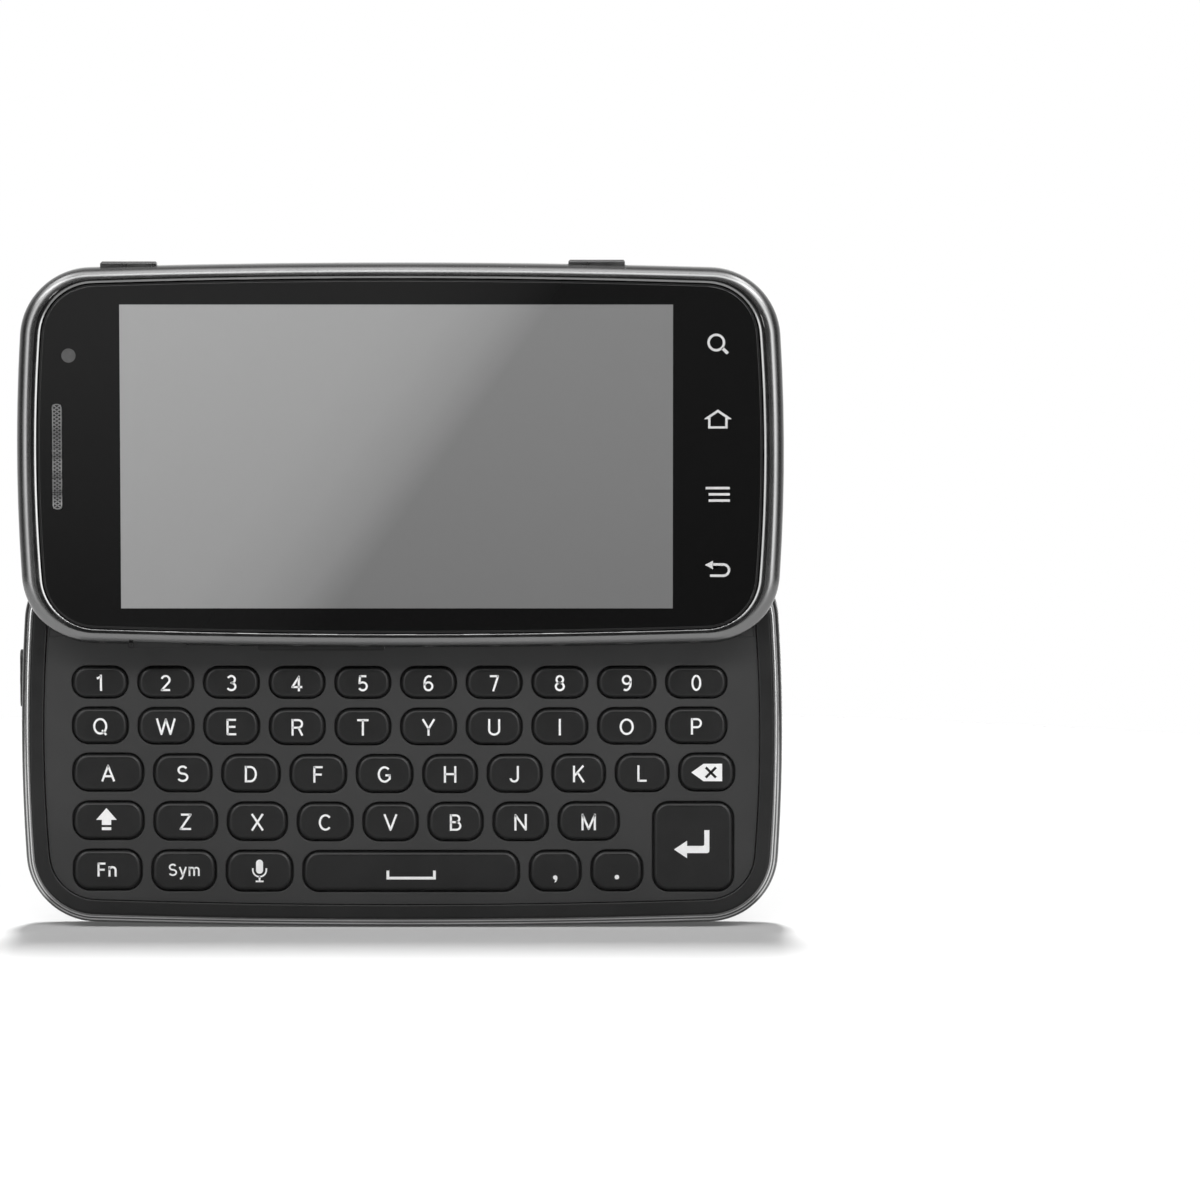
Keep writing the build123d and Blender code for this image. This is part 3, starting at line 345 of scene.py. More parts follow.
def plate_steel(name="plate_steel", low=0.28, high=0.36):
    """Cold-rolled sheet with its long rolling marks."""
    surface = Surface(name, metallic=1.0)
    marks = surface.noise(900, 3.0, stretch=(0.06, 1, 1))
    surface.set("Base Color", surface.mix(marks, grey(low), grey(high)))
    surface.set("Roughness", surface.between(marks, *wear_span, 0.26, 0.42))
    surface.bump(marks, 0.006 * mm, 0.4)
    return surface.material


def cast_alloy():
    surface = Surface("cast_alloy", metallic=0.85)
    tinted(surface, grey(0.3), grey(0.4), 260)
    worn_roughness(surface, 0.4, 0.58, 900)
    surface.bump(surface.noise(1800, 4.0), 0.02 * mm, 0.5)
    return surface.material


def circuit_board():
    """Solder mask over copper tracks."""
    surface = Surface("circuit_board_mask", specular_ior_level=0.5, coat_weight=0.2, coat_roughness=0.15)
    flat = surface.node("Mapping", Vector=surface.place(), Rotation=(math.radians(90), 0, 0)).outputs[0]
    tracks = surface.node("TexBrick", Vector=flat, Scale=420.0, Mortar_Size=0.06, Mortar_Smooth=0.2)
    lines = tracks.outputs["Fac"]
    surface.set("Base Color", surface.mix(lines, (0.006, 0.05, 0.022, 1), (0.012, 0.11, 0.045, 1)))
    surface.set("Roughness", surface.between(lines, 0, 1, 0.38, 0.28))
    surface.bump(lines, 0.02 * mm, 0.5)
    return surface.material


def battery_wrap():
    surface = Surface("battery_wrap", specular_ior_level=0.4)
    tinted(surface, grey(0.035), grey(0.048), 60)
    worn_roughness(surface, 0.3, 0.45, 240)
    surface.bump(surface.noise(700, 2.0), 0.01 * mm, 0.3)
    return surface.material


def contact_gold():
    surface = Surface("contact_gold_plate", metallic=1.0)
    tinted(surface, (0.72, 0.5, 0.2, 1), (0.82, 0.6, 0.28, 1), 300)
    worn_roughness(surface, 0.16, 0.28, 900)
    return surface.material


def inner_plastic():
    surface = Surface("inner_black_plastic", specular_ior_level=0.4)
    tinted(surface, grey(0.014), grey(0.022), 120)
    worn_roughness(surface, 0.45, 0.6, 300)
    surface.bump(surface.noise(2400, 3.0), 0.01 * mm, 0.4)
    return surface.material


def dome_film():
    surface = Surface("dome_film", specular_ior_level=0.5)
    tinted(surface, grey(0.5), grey(0.62), 90)
    worn_roughness(surface, 0.25, 0.4, 300)
    return surface.material


def display_back():
    surface = Surface("display_panel_film", specular_ior_level=0.5)
    tinted(surface, grey(0.14), grey(0.18), 40)
    worn_roughness(surface, 0.15, 0.25, 200)
    return surface.material


def legend_ink():
    """White ink, very slightly uneven as it is when printed."""
    surface = Surface("legend_white_ink", specular_ior_level=0.3)
    tinted(surface, grey(0.95), grey(1.0), 900)
    worn_roughness(surface, 0.4, 0.55, 1500)
    return surface.material


def icon_ink():
    surface = Surface("touch_icon_ink", specular_ior_level=0.3)
    tinted(surface, grey(0.72), grey(0.8), 900)
    worn_roughness(surface, 0.25, 0.4, 1500)
    return surface.material


slot_materials = {
    "cover_soft_plastic": soft_cover(),
    "frame_grey": gunmetal(),
    "trim_chrome": chrome(),
    "rim_black": rim_plastic(),
    "deck_grey": deck_plastic(),
    "key_black": key_plastic(),
    "front_glass": screen_glass(),
    "lens_glass": lens_glass(),
    "mesh_steel": perforated_steel(),
    "plate_steel": plate_steel(),
    "chassis_alloy": cast_alloy(),
    "board_green": circuit_board(),
    "battery_black": battery_wrap(),
    "contact_gold": contact_gold(),
    "inner_black": inner_plastic(),
    "dome_film": dome_film(),
    "display_grey": display_back(),
    "side_key_metal": side_key_metal(),
    "spring_steel": plate_steel("spring_wire_steel", 0.45, 0.55),
}
bright_steel = plate_steel("stamped_bright_steel", 0.4, 0.5)
plain_steel_nodes = ("sim_socket", "memory_card_socket", "shield_cans", "vibration_motor", "microphone",
                     "usb_socket")
dark_chrome = chrome("bezel_dark_chrome", 0.2)


def dress(node, material):
    mesh = nodes[node].data
    if not mesh.materials:
        mesh.materials.append(material)
    for slot in nodes[node].material_slots:
        slot.material = material


for part in frame["record"]["subparts"]:
    dress(part["node"], slot_materials[part["material_slot"]])
for node in plain_steel_nodes:
    dress(node, bright_steel)
dress("bezel_ring", dark_chrome)
dress("slide_base_plate", slot_materials["inner_black"])
for node in ("usb_door", "volume_rocker"):
    dress(node, slot_materials["rim_black"])


# ---------------------------------------------------------------- flat drawings
def add_piece(name, mesh, material, body):
    piece = bpy.data.objects.new(name, mesh)
    bpy.context.scene.collection.objects.link(piece)
    mesh.materials.append(material)
    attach(piece, body)


def curve_mesh(curve):
    holder = bpy.data.objects.new("holder", curve)
    bpy.context.scene.collection.objects.link(holder)
    bpy.context.view_layer.update()
    evaluated = holder.evaluated_get(bpy.context.evaluated_depsgraph_get())
    mesh = bpy.data.meshes.new_from_object(evaluated)
    bpy.data.objects.remove(holder)
    bpy.data.curves.remove(curve)
    return mesh


def drawing(loops):
    """A flat shape, filled inside its outer loops and open inside its inner ones, in millimetres."""
    curve = bpy.data.curves.new("drawing", "CURVE")
    curve.dimensions = "2D"
    curve.fill_mode = "BOTH"
    curve.extrude = print_thickness / 2
    for loop in loops:
        spline = curve.splines.new("POLY")
        spline.points.add(len(loop) - 1)
        for point, (x, y) in zip(spline.points, loop):
            point.co = (x * mm, y * mm, 0, 1)
        spline.use_cyclic_u = True
    return curve_mesh(curve)


def arc(centre, radius, start, end, steps=20):
    """Points along an arc, from start to end in degrees."""
    angles = [math.radians(start + (end - start) * step / steps) for step in range(steps + 1)]
    return [(centre[0] + radius * math.cos(angle), centre[1] + radius * math.sin(angle)) for angle in angles]


def circle(centre, radius, steps=40):
    return arc(centre, radius, 0, 360, steps)[:-1]


def bar(low, high):
    return [low, (high[0], low[1]), high, (low[0], high[1])]


def rounded(half_x, half_y, radius):
    """A rectangle with rounded corners."""
    corners = ((1, 1, 0), (-1, 1, 90), (-1, -1, 180), (1, -1, 270))
    points = []
    for x, y, start in corners:
        centre = (x * (half_x - radius), y * (half_y - radius))
        points += arc(centre, radius, start, start + 90, 10)
    return points


def stroke(points, width):
    """The outline of a line of even width along the points, with square ends."""
    mitre_limit = 0.6
    places = [Vector(point) for point in points]
    left, right = [], []
    for index, place in enumerate(places):
        before = (place - places[index - 1]).normalized() if index else None
        after = (places[index + 1] - place).normalized() if index < len(places) - 1 else None
        along = ((before or after) + (after or before)).normalized()
        across = Vector((-along.y, along.x))
        reach = width / 2 / max(mitre_limit, along.dot(after or before))
        left.append(tuple(place + across * reach))
        right.append(tuple(place - across * reach))
    return left + right[::-1]


def pen_lines(points, width):
    """Shapes of one pen line, cut at its sharp corners, with a round joint at each cut."""
    sharp = 0.5  # the cosine of the turn from which a corner is cut
    shortest = 1e-6
    places = [Vector(point) for point in points]
    moves = zip(places, places[1:])
    path = places[:1] + [place for before, place in moves if (place - before).length > shortest]
    shapes, run = [], path[:2]
    for place, following in zip(path[1:], path[2:]):
        if (place - run[-2]).normalized().dot((following - place).normalized()) < sharp:
            shapes += [stroke(run, width), circle(place, width / 2, 16)]
            run = [place]
        run.append(following)
    return shapes + [stroke(run, width)]


def oval(x, y, reach_x, reach_y, first, last, steps=20):
    """Points along part of an oval, from first to last in degrees."""
    return [(x + reach_x * px, y + reach_y * py) for px, py in arc((0, 0), 1, first, last, steps)]


def joined(meshes_and_places):
    """One mesh from several, each put in place by its matrix."""
    whole = bmesh.new()
    for mesh, matrix in meshes_and_places:
        mesh.transform(matrix)
        whole.from_mesh(mesh)
        bpy.data.meshes.remove(mesh)
    result = bpy.data.meshes.new("joined")
    whole.to_mesh(result)
    whole.free()
    return result


# ---------------------------------------------------------------- lettering
# Each sign is its pen strokes, on a line at 0 and one unit high; its sides are even about x = 0.
top, foot, middle = 0.935, 0.065, 0.5
glyphs = {
    "A": [[(-0.36, 0), (0, 0.94), (0.36, 0)], [(-0.24, 0.31), (0.24, 0.31)]],
    "B": [[(-0.28, 0), (-0.28, 1)],
          [(-0.28, top), (0.02, top)] + oval(0.02, 0.73, 0.21, 0.205, 90, -90) + [(-0.28, 0.525)],
          [(0.02, 0.525)] + oval(0.05, 0.295, 0.24, 0.23, 90, -90) + [(-0.28, foot)]],
    "C": [oval(0.02, middle, 0.34, 0.435, 42, 318)],
    "D": [[(-0.3, 0), (-0.3, 1)],
          [(-0.3, top), (-0.04, top)] + oval(-0.04, middle, 0.34, 0.435, 90, -90) + [(-0.3, foot)]],
    "E": [[(0.27, top), (-0.24, top), (-0.24, foot), (0.28, foot)], [(-0.24, 0.51), (0.23, 0.51)]],
    "F": [[(0.27, top), (-0.23, top), (-0.23, 0)], [(-0.23, 0.49), (0.21, 0.49)]],
    "G": [oval(0, middle, 0.35, 0.435, 45, 312) + [(0.31, 0.24), (0.31, 0.45), (0.05, 0.45)]],
    "H": [[(-0.31, 0), (-0.31, 1)], [(0.31, 0), (0.31, 1)], [(-0.31, 0.52), (0.31, 0.52)]],
    "I": [[(0, 0), (0, 1)]],
    "J": [[(0.19, 1), (0.19, 0.29)] + oval(-0.03, 0.29, 0.22, 0.225, 0, -170)],
    "K": [[(-0.28, 0), (-0.28, 1)], [(0.28, 1), (-0.28, 0.36)], [(-0.07, 0.58), (0.31, 0)]],
    "L": [[(-0.22, 1), (-0.22, foot), (0.27, foot)]],
    "M": [[(-0.37, 0), (-0.37, 0.94), (0, 0.08), (0.37, 0.94), (0.37, 0)]],
    "N": [[(-0.31, 0), (-0.31, 0.94), (0.31, 0.06), (0.31, 1)]],
    "O": [oval(0, middle, 0.36, 0.435, 90, 450, 36)],
    "P": [[(-0.26, 0), (-0.26, 1)],
          [(-0.26, top), (0.04, top)] + oval(0.04, 0.69, 0.24, 0.245, 90, -90) + [(-0.26, 0.445)]],
    "Q": [oval(0, middle, 0.36, 0.435, 90, 450, 36), [(0.1, 0.26), (0.36, -0.02)]],
    "R": [[(-0.28, 0), (-0.28, 1)],
          [(-0.28, top), (0.06, top)] + oval(0.06, 0.705, 0.23, 0.23, 90, -90) + [(-0.28, 0.475)],
          [(0.07, 0.475), (0.31, 0)]],
    "S": [oval(0, 0.72, 0.25, 0.215, 28, 255) + oval(0, 0.285, 0.28, 0.22, 75, -155)],
    "T": [[(-0.34, top), (0.34, top)], [(0, top), (0, 0)]],
    "U": [[(-0.3, 1), (-0.3, 0.33)] + oval(0, 0.33, 0.3, 0.265, 180, 360) + [(0.3, 1)]],
    "V": [[(-0.36, 1), (0, 0.06), (0.36, 1)]],
    "W": [[(-0.54, 1), (-0.27, 0.06), (0, 0.94), (0.27, 0.06), (0.54, 1)]],
    "X": [[(-0.33, 1), (0.33, 0)], [(0.33, 1), (-0.33, 0)]],
    "Y": [[(-0.35, 1), (0, 0.42), (0.35, 1)], [(0, 0.45), (0, 0)]],
    "Z": [[(-0.28, top), (0.3, top), (-0.3, foot), (0.32, foot)]],
    "0": [oval(0, middle, 0.24, 0.435, 90, 450, 32)],
    "1": [[(0.06, 0), (0.06, 1)], [(-0.18, 0.76), (0.06, 0.9)]],
    "2": [oval(0, 0.69, 0.24, 0.245, 165, -35) + [(-0.24, foot), (0.27, foot)]],
    "3": [oval(0, 0.725, 0.22, 0.21, 155, -90) + oval(0, 0.29, 0.25, 0.225, 90, -155)],
    "4": [[(0.11, 0), (0.11, 0.9), (-0.29, 0.26), (0.32, 0.26)]],
    "5": [[(0.22, top), (-0.16, top), (-0.2, 0.5)] + oval(0, 0.31, 0.25, 0.245, 125, -150)],
    "6": [oval(0, 0.31, 0.24, 0.245, 90, 450, 28), oval(0.04, middle, 0.28, 0.435, 62, 195)],
    "7": [[(-0.26, top), (0.24, top), (-0.06, 0)]],
    "8": [oval(0, 0.725, 0.2, 0.21, 90, 450, 28), oval(0, 0.29, 0.245, 0.225, 90, 450, 28)],
    "9": [oval(0, 0.69, 0.24, 0.245, 90, 450, 28), oval(-0.04, middle, 0.28, 0.435, 242, 375)],
    "n": [[(-0.22, 0), (-0.22, 0.74)], oval(0, 0.46, 0.22, 0.22, 180, 0) + [(0.22, 0)]],
    "m": [[(-0.38, 0), (-0.38, 0.74)], oval(-0.19, 0.48, 0.19, 0.2, 180, 0) + [(0, 0)],
          oval(0.19, 0.48, 0.19, 0.2, 180, 0) + [(0.38, 0)]],
    "y": [[(-0.26, 0.74), (0, 0.06)], [(0.26, 0.74), (-0.03, -0.1), (-0.12, -0.22), (-0.24, -0.22)]],
}


def words(text, cap_height, pen=0.125):
    """Lettering whose capitals are that high, centred on x = 0 and standing on y = 0."""
    spacing = 0.28
    placed, end = [], 0
    for sign in text:
        reach = max(abs(x) for path in glyphs[sign] for x, _ in path)
        placed.append((sign, end + reach))
        end += reach * 2 + spacing
    start = (end - spacing) / 2
    strokes = []
    for sign, x in placed:
        for path in glyphs[sign]:
            line = [((px + x - start) * cap_height, py * cap_height) for px, py in path]
            strokes += [(drawing([shape]), Matrix.Identity(4)) for shape in pen_lines(line, pen * cap_height)]
    return joined(strokes)


# ---------------------------------------------------------------- polished rims
# The frames' rounded edges, laid very thinly over the CAD edges so that highlights run evenly.
end_bulge = 1.5 * mm  # how far the short sides bow out
side_bulge = 1.1 * mm  # how far the long sides bow out
phone_corner = 11.8 * mm
slider_front_radius = 2.0 * mm
slider_back_radius = 1.6 * mm
frame_edge_radius = 1.2 * mm
frame_wall = 1.5 * mm
trim_proud = 0.12 * mm  # how far the trim ring stands out of the base frame
film = 0.006 * mm  # how far the polish lies off the CAD's faces
outline_steps = 24  # on each arc of an outline


def outline_arcs(half_length, half_width, corner_radius):
    """The outline's first quarter as three arcs, each (centre, radius, first angle, last angle)."""
    corner_x, corner_y = half_length - end_bulge, half_width - side_bulge
    side_radius = (corner_x**2 + side_bulge**2) / (2 * side_bulge)
    end_radius = (corner_y**2 + end_bulge**2) / (2 * end_bulge)
    side_centre = Vector((0, half_width - side_radius))
    end_centre = Vector((half_length - end_radius, 0))
    to_side, to_end = side_radius - corner_radius, end_radius - corner_radius
    between = end_centre - side_centre
    along = (to_side**2 - to_end**2 + between.length_squared) / (2 * between.length)
    across = math.sqrt(to_side**2 - along**2)
    direction = between.normalized()
    corner = side_centre + direction * along + Vector((direction.y, -direction.x)) * across
    end_angle = math.atan2(*(corner - end_centre).yx)
    side_angle = math.atan2(*(corner - side_centre).yx)
    return [(end_centre, end_radius, 0, end_angle), (corner, corner_radius, end_angle, side_angle),
            (side_centre, side_radius, side_angle, math.pi / 2)]


def mirrored(rows, flip):
    """Points with their outward directions, flipped over and in the opposite order."""
    return [(point * flip, outward * flip) for point, outward in reversed(rows)]


def outline_points(half_length, half_width, corner_radius):
    """Points round the whole outline with their outward directions."""
    arcs = outline_arcs(half_length, half_width, corner_radius)
    quarter = []
    for centre, radius, first, last in arcs:
        for step in range(outline_steps):
            angle = first + (last - first) * step / outline_steps
            outward = Vector((math.cos(angle), math.sin(angle)))
            quarter.append((centre + outward * radius, outward))
    side_centre, side_radius = arcs[-1][:2]
    quarter.append((Vector((0, side_centre.y + side_radius)), Vector((0, 1))))
    upper = quarter + mirrored(quarter[:-1], Vector((-1, 1)))
    return upper + mirrored(upper[1:-1], Vector((1, -1)))


def smooth_mesh(shape, name):
    bmesh.ops.recalc_face_normals(shape, faces=shape.faces)
    mesh = bpy.data.meshes.new(name)
    shape.to_mesh(mesh)
    shape.free()
    for polygon in mesh.polygons:
        polygon.use_smooth = True
    return mesh


def band(name, rings, material, body):
    """A smooth strip laid through rings of points, each ring going once round the phone."""
    shape = bmesh.new()
    rows = [[shape.verts.new(point) for point in ring] for ring in rings]
    for row, following in zip(rows, rows[1:]):
        for step in range(len(row)):
            after = (step + 1) % len(row)
            shape.faces.new((row[step], row[after], following[after], following[step]))
    add_piece(name, smooth_mesh(shape, name), material, body)


def polished_edge(node, body, side, edge_radius, corner_radius, layers):
    """A frame's rounded edge, in front where side is -1.

    Each layer is two angles, in degrees, and a material.
    """
    face = front_of(node) if side < 0 else back_of(node)
    outline = outline_points(*half_size_of(node), corner_radius)
    centre_z = centre_of(node)[1]
    side_name = "front" if side < 0 else "back"
    for number, (first, last, material) in enumerate(layers, start=1):
        steps = max(3, round((last - first) / 4))  # of about 4 degrees
        rings = []
        for step in range(steps + 1):
            angle = math.radians(first + (last - first) * step / steps)
            inward = edge_radius * (1 - math.cos(angle)) - film * math.cos(angle)
            y = face + side * (film * math.sin(angle) - edge_radius * (1 - math.sin(angle)))
            places = [point - outward * inward for point, outward in outline]
            rings.append([(place.x, y, centre_z + place.y) for place in places])
        band(f"{node}_{side_name}_polish_{number}", rings, material, body)


# The base frame's edge is laid in bands as painted highlight and painted shade: bright chrome where its two
# highlight lines fall, and a darker copy of the frame's paint between and round them. Both still reflect the
# room and the lamps.
highlight_chrome = chrome("frame_painted_highlight_chrome", 0.5)
shade_gunmetal = gunmetal("frame_painted_shade_gunmetal", 0.08)
whole_edge = [(6, 88, slot_materials["frame_grey"])]
painted_bands = [(6, 50, shade_gunmetal), (50, 64, highlight_chrome), (64, 76, shade_gunmetal), (76, 86, highlight_chrome)]
polished_edge("slider_frame", "screen_half", -1, slider_front_radius, phone_corner, whole_edge)
polished_edge("slider_frame", "screen_half", 1, slider_back_radius, phone_corner, whole_edge)
polished_edge("base_frame", "keyboard_half", -1, frame_edge_radius, phone_corner - trim_proud, painted_bands)


def inset_ring(end_inset, side_inset, y, centre_z):
    """Points round the phone's outline, drawn in by two insets."""
    half_length, half_width = half_size_of("slider_frame")
    radius = phone_corner - (end_inset + side_inset) / 2
    points = outline_points(half_length - end_inset, half_width - side_inset, radius)
    return [(place.x, y, centre_z + place.y) for place, _ in points]


slider_z = centre_of("slider_frame")[1]
bezel_face = front_of("bezel_ring") - film
glass_end, glass_side = 3.75 * mm, 2.8 * mm  # from the outline in to the glass
bezel_gap = 0.2 * mm
bezel_chamfer = 0.3 * mm
flat_insets = [(2.47 * mm, 1.77 * mm), (2.6 * mm, 1.86 * mm)]  # both edges of the bezel's flat line
bezel_rings = [inset_ring(end, side, bezel_face, slider_z) for end, side in flat_insets]
for share in (0, 0.25, 0.5, 0.75, 1):
    fall = bezel_chamfer * share  # down the chamfer, towards the glass
    inset = fall - bezel_gap - bezel_chamfer
    bezel_rings.append(inset_ring(glass_end + inset, glass_side + inset, bezel_face + fall, slider_z))
band("bezel_ring_polish", bezel_rings, dark_chrome, "screen_half")
seam_face = bezel_face + 0.05 * mm
seam_reaches = (1.1 * bezel_gap, -0.1 * bezel_gap)  # a little past both sides of the gap
glass_seam = [inset_ring(glass_end - reach, glass_side - reach, seam_face, slider_z)
              for reach in seam_reaches]
band("glass_edge_seam", glass_seam, slot_materials["rim_black"], "screen_half")
frame_face = front_of("base_frame") - film
rim_seam_insets = (frame_wall - 0.06 * mm, frame_wall + 0.12 * mm)
rim_seam = [inset_ring(inset, inset, frame_face, 0) for inset in rim_seam_insets]
band("rim_edge_seam", rim_seam, slot_materials["rim_black"], "keyboard_half")


# ---------------------------------------------------------------- key legends
def key_boxes(node):
    """The span of each key in a node as (x low, x high, z low, z high), from left to right."""
    mesh = nodes[node].data
    points = [vertex.co for vertex in mesh.vertices]
    spans = []
    for polygon in mesh.polygons:
        xs = [points[index].x for index in polygon.vertices]
        zs = [points[index].z for index in polygon.vertices]
        spans.append([min(xs), max(xs), min(zs), max(zs)])
    spans.sort()
    keys = [spans[0]]
    for span in spans[1:]:
        last = keys[-1]
        if span[0] > last[1]:
            keys.append(span)
        else:
            keys[-1] = [last[0], max(last[1], span[1]), min(last[2], span[2]), max(last[3], span[3])]
    return keys


def on_key(key_box, node, x=0.0, y=0.0, lift=0.0):
    """Where a drawing centred on a key goes, moved by x and y millimetres and lifted off its face."""
    x_low, x_high, z_low, z_high = key_box
    centre = ((x_low + x_high) / 2 + x * mm, front_of(node) - lift, (z_low + z_high) / 2 + y * mm)
    return Matrix.Translation(centre) @ facing_front


ink = legend_ink()
letter_drop = 0.08  # from a cap's middle down to its letter's
letter_rows = {
    "digit_keys": ("1234567890", 2.7),
    "top_letter_keys": ("QWERTYUIOP", 2.76),
    "middle_letter_keys": ("ASDFGHJKL", 2.76),
    "lower_letter_keys": ("ZXCVBNM", 2.76),
}
for node, (letters, height) in letter_rows.items():
    placed = [(words(letter, height), on_key(box, node, 0, -height / 2 - letter_drop))
              for letter, box in zip(letters, key_boxes(node))]
    add_piece(f"{node}_legends", joined(placed), ink, node)

shift_drawing = [
    [(0, 2.11), (-1.72, 0.14), (-0.78, 0.14), (-0.78, -0.72), (0.78, -0.72), (0.78, 0.14), (1.72, 0.14)],
    bar((-0.78, -1.58), (0.78, -1.09)),
]
backspace_drawing = [[(-2.55, 0), (-0.53, -1.46), (2.57, -1.46), (2.57, 1.46), (-0.53, 1.46)]]
backspace_cross = [stroke([(-0.16, 0.85), (1.54, -0.85)], 0.42), stroke([(-0.16, -0.85), (1.54, 0.85)], 0.42)]
enter_drawing = [
    [(-3.18, -0.44), (-1.01, -1.9), (-1.01, -1.05)]
    + arc((2.3, -0.65), 0.4, -90, 0, 6)
    + [(2.7, 2.79), (1.86, 2.79)]
    + arc((1.56, 0.45), 0.3, 0, -90, 6)
    + [(-1.01, 0.15), (-1.01, 1.02)],
]
microphone_drawing = [
    arc((0, 1.36), 0.58, 0, 180, 12) + arc((0, 0.16), 0.58, 180, 360, 12),
    stroke([(-1.12, 0.5)] + arc((0, 0.2), 1.12, 180, 360, 24) + [(1.12, 0.5)], 0.26),
    bar((-0.14, -1.6), (0.14, -0.85)),
    bar((-0.66, -1.84), (0.66, -1.56)),
]
space_drawing = [stroke([(-3.87, 0.77), (-3.87, -0.5), (3.87, -0.5), (3.87, 0.77)], 0.46)]
comma_drawing = [
    arc((0, 0), 0.37, 20, 200, 12)
    + [(-0.2, -0.32), (0.02, -0.42), (-0.14, -0.86), (0.18, -0.7), (0.38, -0.2)],
]
period_drawing = [circle((0, 0), 0.38)]
single_legends = {
    "shift_key": (drawing(shift_drawing), -0.33, 0.0),
    "backspace_key": (drawing(backspace_drawing), 0.0, 0.0),
    "enter_key": (drawing(enter_drawing), 0.0, 0.0),
    "voice_key": (drawing(microphone_drawing), 0.0, 0.0),
    "space_key": (drawing(space_drawing), 0.0, -0.6),
    "comma_key": (drawing(comma_drawing), 0.0, -1.06),
    "period_key": (drawing(period_drawing), 0.0, -1.06),
    "function_key": (words("Fn", 2.32, 0.15), -0.15, -1.07),
    "symbol_key": (words("Sym", 2.04, 0.14), 0.0, -0.86),
}
for node, (mesh, x_shift, y_shift) in single_legends.items():
    mesh.transform(on_key(key_boxes(node)[0], node, x_shift, y_shift))
    add_piece(f"{node}_legend", mesh, ink, node)
cross_place = on_key(key_boxes("backspace_key")[0], "backspace_key", lift=print_thickness)
cross_mesh = joined([(drawing([loop]), cross_place) for loop in backspace_cross])
add_piece("backspace_cross", cross_mesh, slot_materials["key_black"], "backspace_key")


# ---------------------------------------------------------------- on the front glass
def on_glass(x, z):
    return Matrix.Translation((x, front_of("front_glass"), z)) @ facing_front


icon_pitch = 12.4 * mm
# Search, home, menu and back, from the top down.
icon_drawings = [
    [circle((-0.28, 0.25), 1.47), circle((-0.28, 0.25), 1.07), stroke([(0.7, -0.65), (1.63, -1.55)], 0.5)],
    [[(0, 1.6), (2.2, 0.12), (2.2, 0), (1.6, 0), (1.6, -1.53)]
     + [(-1.6, -1.53), (-1.6, 0), (-2.2, 0), (-2.2, 0.12)],
     [(0, 1.14), (1.22, 0.32), (1.22, -1.17), (-1.22, -1.17), (-1.22, 0.32)]],
    [bar((-2.0, 0.82), (2.0, 1.23)), bar((-1.5, -0.21), (2.0, 0.2)), bar((-1.5, -1.24), (2.0, -0.83))],
    [[(-2.12, 0.7), (-0.77, 0.0), (-0.77, 1.4)],
     stroke([(-0.85, 0.78), (0.9, 0.78)] + arc((0.94, -0.15), 0.93, 90, -90, 20) + [(-1.27, -1.08)], 0.4)],
]
icon_x = centre_of("touch_key_board")[0]
top_icon_z = screen_centre[1] + (len(icon_drawings) - 1) / 2 * icon_pitch
icon_meshes = [(drawing(loops), on_glass(icon_x, top_icon_z - number * icon_pitch))
               for number, loops in enumerate(icon_drawings)]
add_piece("touch_icons", joined(icon_meshes), icon_ink(), "screen_half")


def front_camera_glass():
    surface = Surface("front_camera_glass", specular_ior_level=0.5)
    tinted(surface, grey(0.115), grey(0.14), 600)
    worn_roughness(surface, 0.12, 0.2, 900, 3.0)
    return surface.material


camera_spot_radius = 1.17
camera_dot = drawing([circle((0, 0), camera_spot_radius, 48)])
camera_dot.transform(on_glass(*centre_of("front_camera")))
add_piece("front_camera_spot", camera_dot, front_camera_glass(), "screen_half")


# ---------------------------------------------------------------- earpiece grille
def stadium(half_length, radius):
    """An upright slot's outline."""
    upper_end = arc((0, half_length - radius), radius, 0, 180, 16)
    return upper_end + arc((0, radius - half_length), radius, 180, 360, 16)


def over_earpiece(lift):
    x, z = centre_of("earpiece_mesh")
    return Matrix.Translation((x, front_of("earpiece_mesh") - lift, z)) @ facing_front


slot_radius, slot_half_length = (half / mm for half in half_size_of("earpiece_mesh"))
grille_ring_insets = (0.06, 0.24)
grille_ring_lift, wire_lift = 0.07 * mm, 0.03 * mm
wire_pitch, wire_width = 0.62, 0.17
wire_lean = 35  # degrees, to each side
wire_reach = slot_radius - 0.12
wire_rows = int((slot_half_length - slot_radius * 0.6) / wire_pitch)  # on each side of the middle one


def wires(lean):
    """Straight wires that cross the slot at a slant."""
    rise = wire_reach * math.tan(math.radians(lean))
    middles = [row * wire_pitch for row in range(-wire_rows, wire_rows + 1)]
    return [stroke([(-wire_reach, z - rise), (wire_reach, z + rise)], wire_width) for z in middles]


grille_ring = [stadium(slot_half_length - inset, slot_radius - inset) for inset in grille_ring_insets]
grille = [(drawing(grille_ring), over_earpiece(grille_ring_lift))]
for lean in (wire_lean, -wire_lean):
    grille += [(drawing([wire]), over_earpiece(wire_lift)) for wire in wires(lean)]
add_piece("earpiece_grille", joined(grille), plate_steel("grille_wire_steel", 0.3, 0.42), "screen_half")
dress("earpiece_mesh", slot_materials["inner_black"])


# ---------------------------------------------------------------- camera and light on the back
def turned(profile, centre):
    """A ring or dome turned about an axis along Y through centre; the profile is (radius, y) in metres."""
    segments = 64
    shape = bmesh.new()
    rings = []
    for radius, y in profile:
        angles = [2 * math.pi * step / segments for step in range(segments)] if radius else [0]
        rings.append([shape.verts.new((centre[0] + radius * math.cos(angle), y,
                                       centre[1] + radius * math.sin(angle))) for angle in angles])
    for first, second in zip(rings, rings[1:]):
        for step in range(segments):
            corners = [first[step % len(first)], first[(step + 1) % len(first)],
                       second[(step + 1) % len(second)], second[step % len(second)]]
            shape.faces.new(dict.fromkeys(corners))
    return smooth_mesh(shape, "turned")


